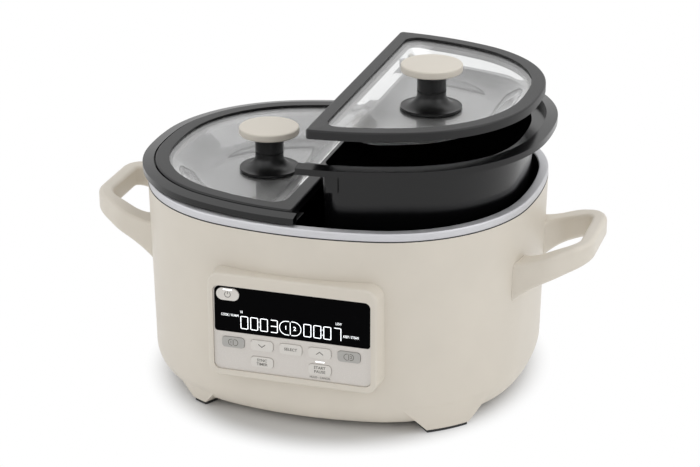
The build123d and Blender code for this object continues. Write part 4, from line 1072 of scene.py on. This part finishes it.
class COOKER_OT_display(bpy.types.Operator):
    """Light the display's digits, zone sign and words"""
    bl_idname = "cooker.display"
    bl_label = "Display"

    def execute(self, context):
        face_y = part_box("display_window")[0].y
        self.digits(context.scene.cooker_sizes, face_y)
        self.signs(context.scene.cooker_sizes, face_y)
        return {"FINISHED"}

    def digits(self, sizes, face_y):
        """Seven-segment digits, one bar for each lit segment."""
        stroke = sizes.digit_stroke
        half_width = (sizes.digit_width - stroke) / 2
        half_height = (sizes.digit_height - stroke) / 2
        spots, turns = [], []
        for first, text in CLOCKS:
            for i, figure in enumerate(text):
                middle = first + i * sizes.digit_pitch
                for segment in FIGURES[figure]:
                    across, up, upright = SEGMENTS[segment]
                    spots.append((middle + across * half_width, face_y, DIGIT_MIDDLE_Z + up * half_height))
                    turns.append((pi / 2, pi / 2 if upright else 0.0, 0.0))
        lit_plastic = MATERIALS["light_plastic"]
        mesh = grown("display_digits", points_mesh("display_digits", spots, turns), segment_tree(), {
            "Length": half_height - stroke * SEGMENT_GAP, "Width": stroke, "Thickness": sizes.print_depth,
            "Corner": stroke * SEGMENT_ROUND, "Material": lit_plastic})
        place("display_digits", mesh, "display_window", lit_plastic)

    def signs(self, sizes, face_y):
        """The colons, the split zone oval with its numbers, and the words beside the digits."""
        stroke = sizes.digit_stroke
        sign = Print(face_y, sizes.print_depth)
        for first, text in CLOCKS:
            x = first + (len(text) - 1) / 2 * sizes.digit_pitch
            for way in (-1, 1):
                z = DIGIT_MIDDLE_Z + way * sizes.digit_height * COLON_REACH
                sign.ribbon([(x - stroke / 2, z), (x + stroke / 2, z)], stroke)
        sign.split_oval((ZONE_OVAL_X, DIGIT_MIDDLE_Z), sizes.oval_length / 2, sizes.oval_height / 2,
                        stroke * ZONE_OVAL_STROKE)
        for side, zone in ((-1, "1"), (1, "2")):
            x = ZONE_OVAL_X + side * sizes.oval_length * OVAL_NUMBER_PLACE
            sign.word(zone, sizes.oval_height * OVAL_NUMBER_HEIGHT, (x, DIGIT_MIDDLE_Z))
        for word, x, z in DISPLAY_WORDS:
            sign.word(word, sizes.legend_height, (x, z), LEGEND_SQUEEZE, LEGEND_WEIGHT)
        sign.finish("display_signs", "display_window", "light_plastic")


class COOKER_OT_screws(bpy.types.Operator):
    """Set the bottom cover's screws, with their cross recesses"""
    bl_idname = "cooker.screws"
    bl_label = "Cover screws"

    def execute(self, context):
        sizes = context.scene.cooker_sizes
        node = "cover_screws"
        boxes = quarter_boxes(node)
        low, high = boxes[0]
        spots = [((a.x + b.x) / 2, (a.y + b.y) / 2, a.z) for a, b in boxes]
        mesh = grown("cover_screw_set", points_mesh("cover_screw_set", spots), screw_tree(), {
            "Head Radius": (high.x - low.x) / 2, "Head Height": sizes.screw_head,
            "Shank Radius": sizes.screw_shank, "Shank Length": high.z - low.z - sizes.screw_head,
            "Recess Width": sizes.screw_recess, "Material": finish_of(node)})
        stand_in("cover_screw_set", mesh, node)
        return {"FINISHED"}


class COOKER_OT_stage(bpy.types.Operator):
    """Set up the floor, the lamps and the camera"""
    bl_idname = "cooker.stage"
    bl_label = "Stage"

    def execute(self, context):
        stage = context.scene.cooker_stage
        context.scene.view_settings.view_transform = "Standard"
        self.floor(stage)
        self.sky(context.scene, stage)
        self.lamps(stage)
        self.camera(context.scene, stage)
        return {"FINISHED"}

    def eye_rays(self, tree):
        """Masks of the rays straight from the camera, and of those by way of metal or glass as well."""
        path = add(tree, "ShaderNodeLightPath").outputs
        seen = path["Is Camera Ray"]
        for kind in ("Is Glossy Ray", "Is Transmission Ray"):
            seen = made(tree, "ShaderNodeMath", {0: seen, 1: path[kind]}, operation="MAXIMUM")
        return path["Is Camera Ray"], seen

    def floor(self, stage):
        """A floor that takes the object's shadow close to it, with a painted shadow there as well: to the eye
        it is grey paper in an oval round the body, to bounced light it stays white; farther out it is plain
        white to the eye.
        """
        bm = bmesh.new()
        bmesh.ops.create_grid(bm, x_segments=FLOOR_SEGMENTS, y_segments=FLOOR_SEGMENTS, size=FLOOR_REACH)
        floor = bpy.data.objects.new("floor", mesh_from(bm, "floor"))
        bpy.context.scene.collection.objects.link(floor)
        material, tree, coords = new_material("pale_floor")
        straight, seen = self.eye_rays(tree)
        # Painted shadow: near the object the camera sees the paper grey, while bounced light sees it white
        shade_seen = add(tree, "ShaderNodeMix", {"Factor": straight}, {"A": stage.floor, "B": stage.painted_shadow_paper},
                         data_type="RGBA")
        painted_shadow_paper = made(tree, "ShaderNodeBsdfDiffuse", {"Color": shade_seen.outputs["Result"]})
        white = made(tree, "ShaderNodeEmission", values={"Color": stage.floor, "Strength": 1.0})
        # The oval that follows the body, inside which the painted shadow and the real shadow show
        body = made(tree, "ShaderNodeMapping", {"Vector": coords},
                    {"Scale": (1 / (BODY_HALF_LENGTH * stage.floor_width), 1 / BODY_HALF_DEPTH, 1.0)})
        away = add(tree, "ShaderNodeVectorMath", {0: body}, operation="LENGTH").outputs["Value"]
        fade = made(tree, "ShaderNodeMapRange", {"Value": away},
                    {"From Min": stage.floor_near, "From Max": stage.floor_far},
                    interpolation_type="SMOOTHSTEP")
        share = made(tree, "ShaderNodeMath", {0: seen, 1: fade}, operation="MULTIPLY")
        mixed = made(tree, "ShaderNodeMixShader", {"Fac": share, 1: painted_shadow_paper, 2: white})
        add(tree, "ShaderNodeOutputMaterial", {"Surface": mixed})
        floor.data.materials.append(material)

    def sky(self, scene, stage):
        """Even light, and plain white where the eye, metal or glass sees the background."""
        world = bpy.data.worlds.new("studio")
        world.use_nodes = True
        tree = world.node_tree
        tree.nodes.clear()
        strength = spread(tree, self.eye_rays(tree)[1], stage.sky, 1.0, 0.0, 1.0)
        light = made(tree, "ShaderNodeBackground", {"Strength": strength}, {"Color": (1.0, 1.0, 1.0, 1.0)})
        add(tree, "ShaderNodeOutputWorld", {"Surface": light})
        scene.world = world

    def lamps(self, stage):
        """Soft lamps: a large one above, one at each side and a fill in front."""
        for name, spot, width, height, power in (
                ("lamp_above", (0.5, 0.5, 1.9), 1.95, 1.95, stage.key),
                ("lamp_left", (-1.8, -0.9, 0.9), 1.4, 1.9, stage.left),
                ("lamp_right", (1.9, -0.4, 0.9), 1.2, 1.6, stage.right),
                ("lamp_front", (-0.3, -2.1, 1.3), 1.9, 1.5, stage.front)):
            lamp = bpy.data.lights.new(name, "AREA")
            lamp.shape = "RECTANGLE"
            lamp.size = width
            lamp.size_y = height
            lamp.energy = power
            stand = bpy.data.objects.new(name, lamp)
            stand.location = spot
            stand.rotation_euler = (LAMP_AIM - Vector(spot)).to_track_quat("-Z", "Y").to_euler()
            bpy.context.scene.collection.objects.link(stand)

    def camera(self, scene, stage):
        """The camera at the photograph's place."""
        camera = bpy.data.cameras.new("camera")
        camera.lens = stage.lens
        camera.sensor_width = SENSOR_WIDTH_MM
        camera.sensor_fit = "HORIZONTAL"
        stand = bpy.data.objects.new("camera", camera)
        stand.location = stage.camera_place
        stand.rotation_euler = (stage.camera_tilt, 0.0, stage.camera_turn)
        scene.collection.objects.link(stand)
        scene.camera = stand


STEPS = (
    COOKER_OT_finishes, COOKER_OT_housing, COOKER_OT_trim_ring, COOKER_OT_pots, COOKER_OT_lids,
    COOKER_OT_knobs, COOKER_OT_panel, COOKER_OT_key_signs, COOKER_OT_display, COOKER_OT_screws,
    COOKER_OT_stage,
)


class COOKER_PT_sidebar(bpy.types.Panel):
    """Lists the cooker's sizes, colours, stage and steps"""
    bl_idname = "COOKER_PT_sidebar"
    bl_label = "Slow cooker"
    bl_space_type = "VIEW_3D"
    bl_region_type = "UI"
    bl_category = "Cooker"

    def draw(self, context):
        for group, _ in GROUPS:
            settings = getattr(context.scene, group)
            box = self.layout.box()
            for name in settings.bl_rna.properties.keys():
                if name not in ("rna_type", "name"):
                    box.prop(settings, name)
        for step in STEPS:
            self.layout.operator(step.bl_idname)


GROUPS = (("cooker_sizes", CookerSizes), ("cooker_colours", CookerColours), ("cooker_stage", CookerStage))


def register():
    for name, group in GROUPS:
        bpy.utils.register_class(group)
        setattr(bpy.types.Scene, name, bpy.props.PointerProperty(type=group))
    for cls in (*STEPS, COOKER_PT_sidebar):
        bpy.utils.register_class(cls)


def unregister():
    for cls in (COOKER_PT_sidebar, *reversed(STEPS)):
        bpy.utils.unregister_class(cls)
    for name, group in reversed(GROUPS):
        delattr(bpy.types.Scene, name)
        bpy.utils.unregister_class(group)


def main():
    register()
    for step in STEPS:
        family, name = step.bl_idname.split(".")
        getattr(getattr(bpy.ops, family), name)()


if __name__ == "__main__":
    main()
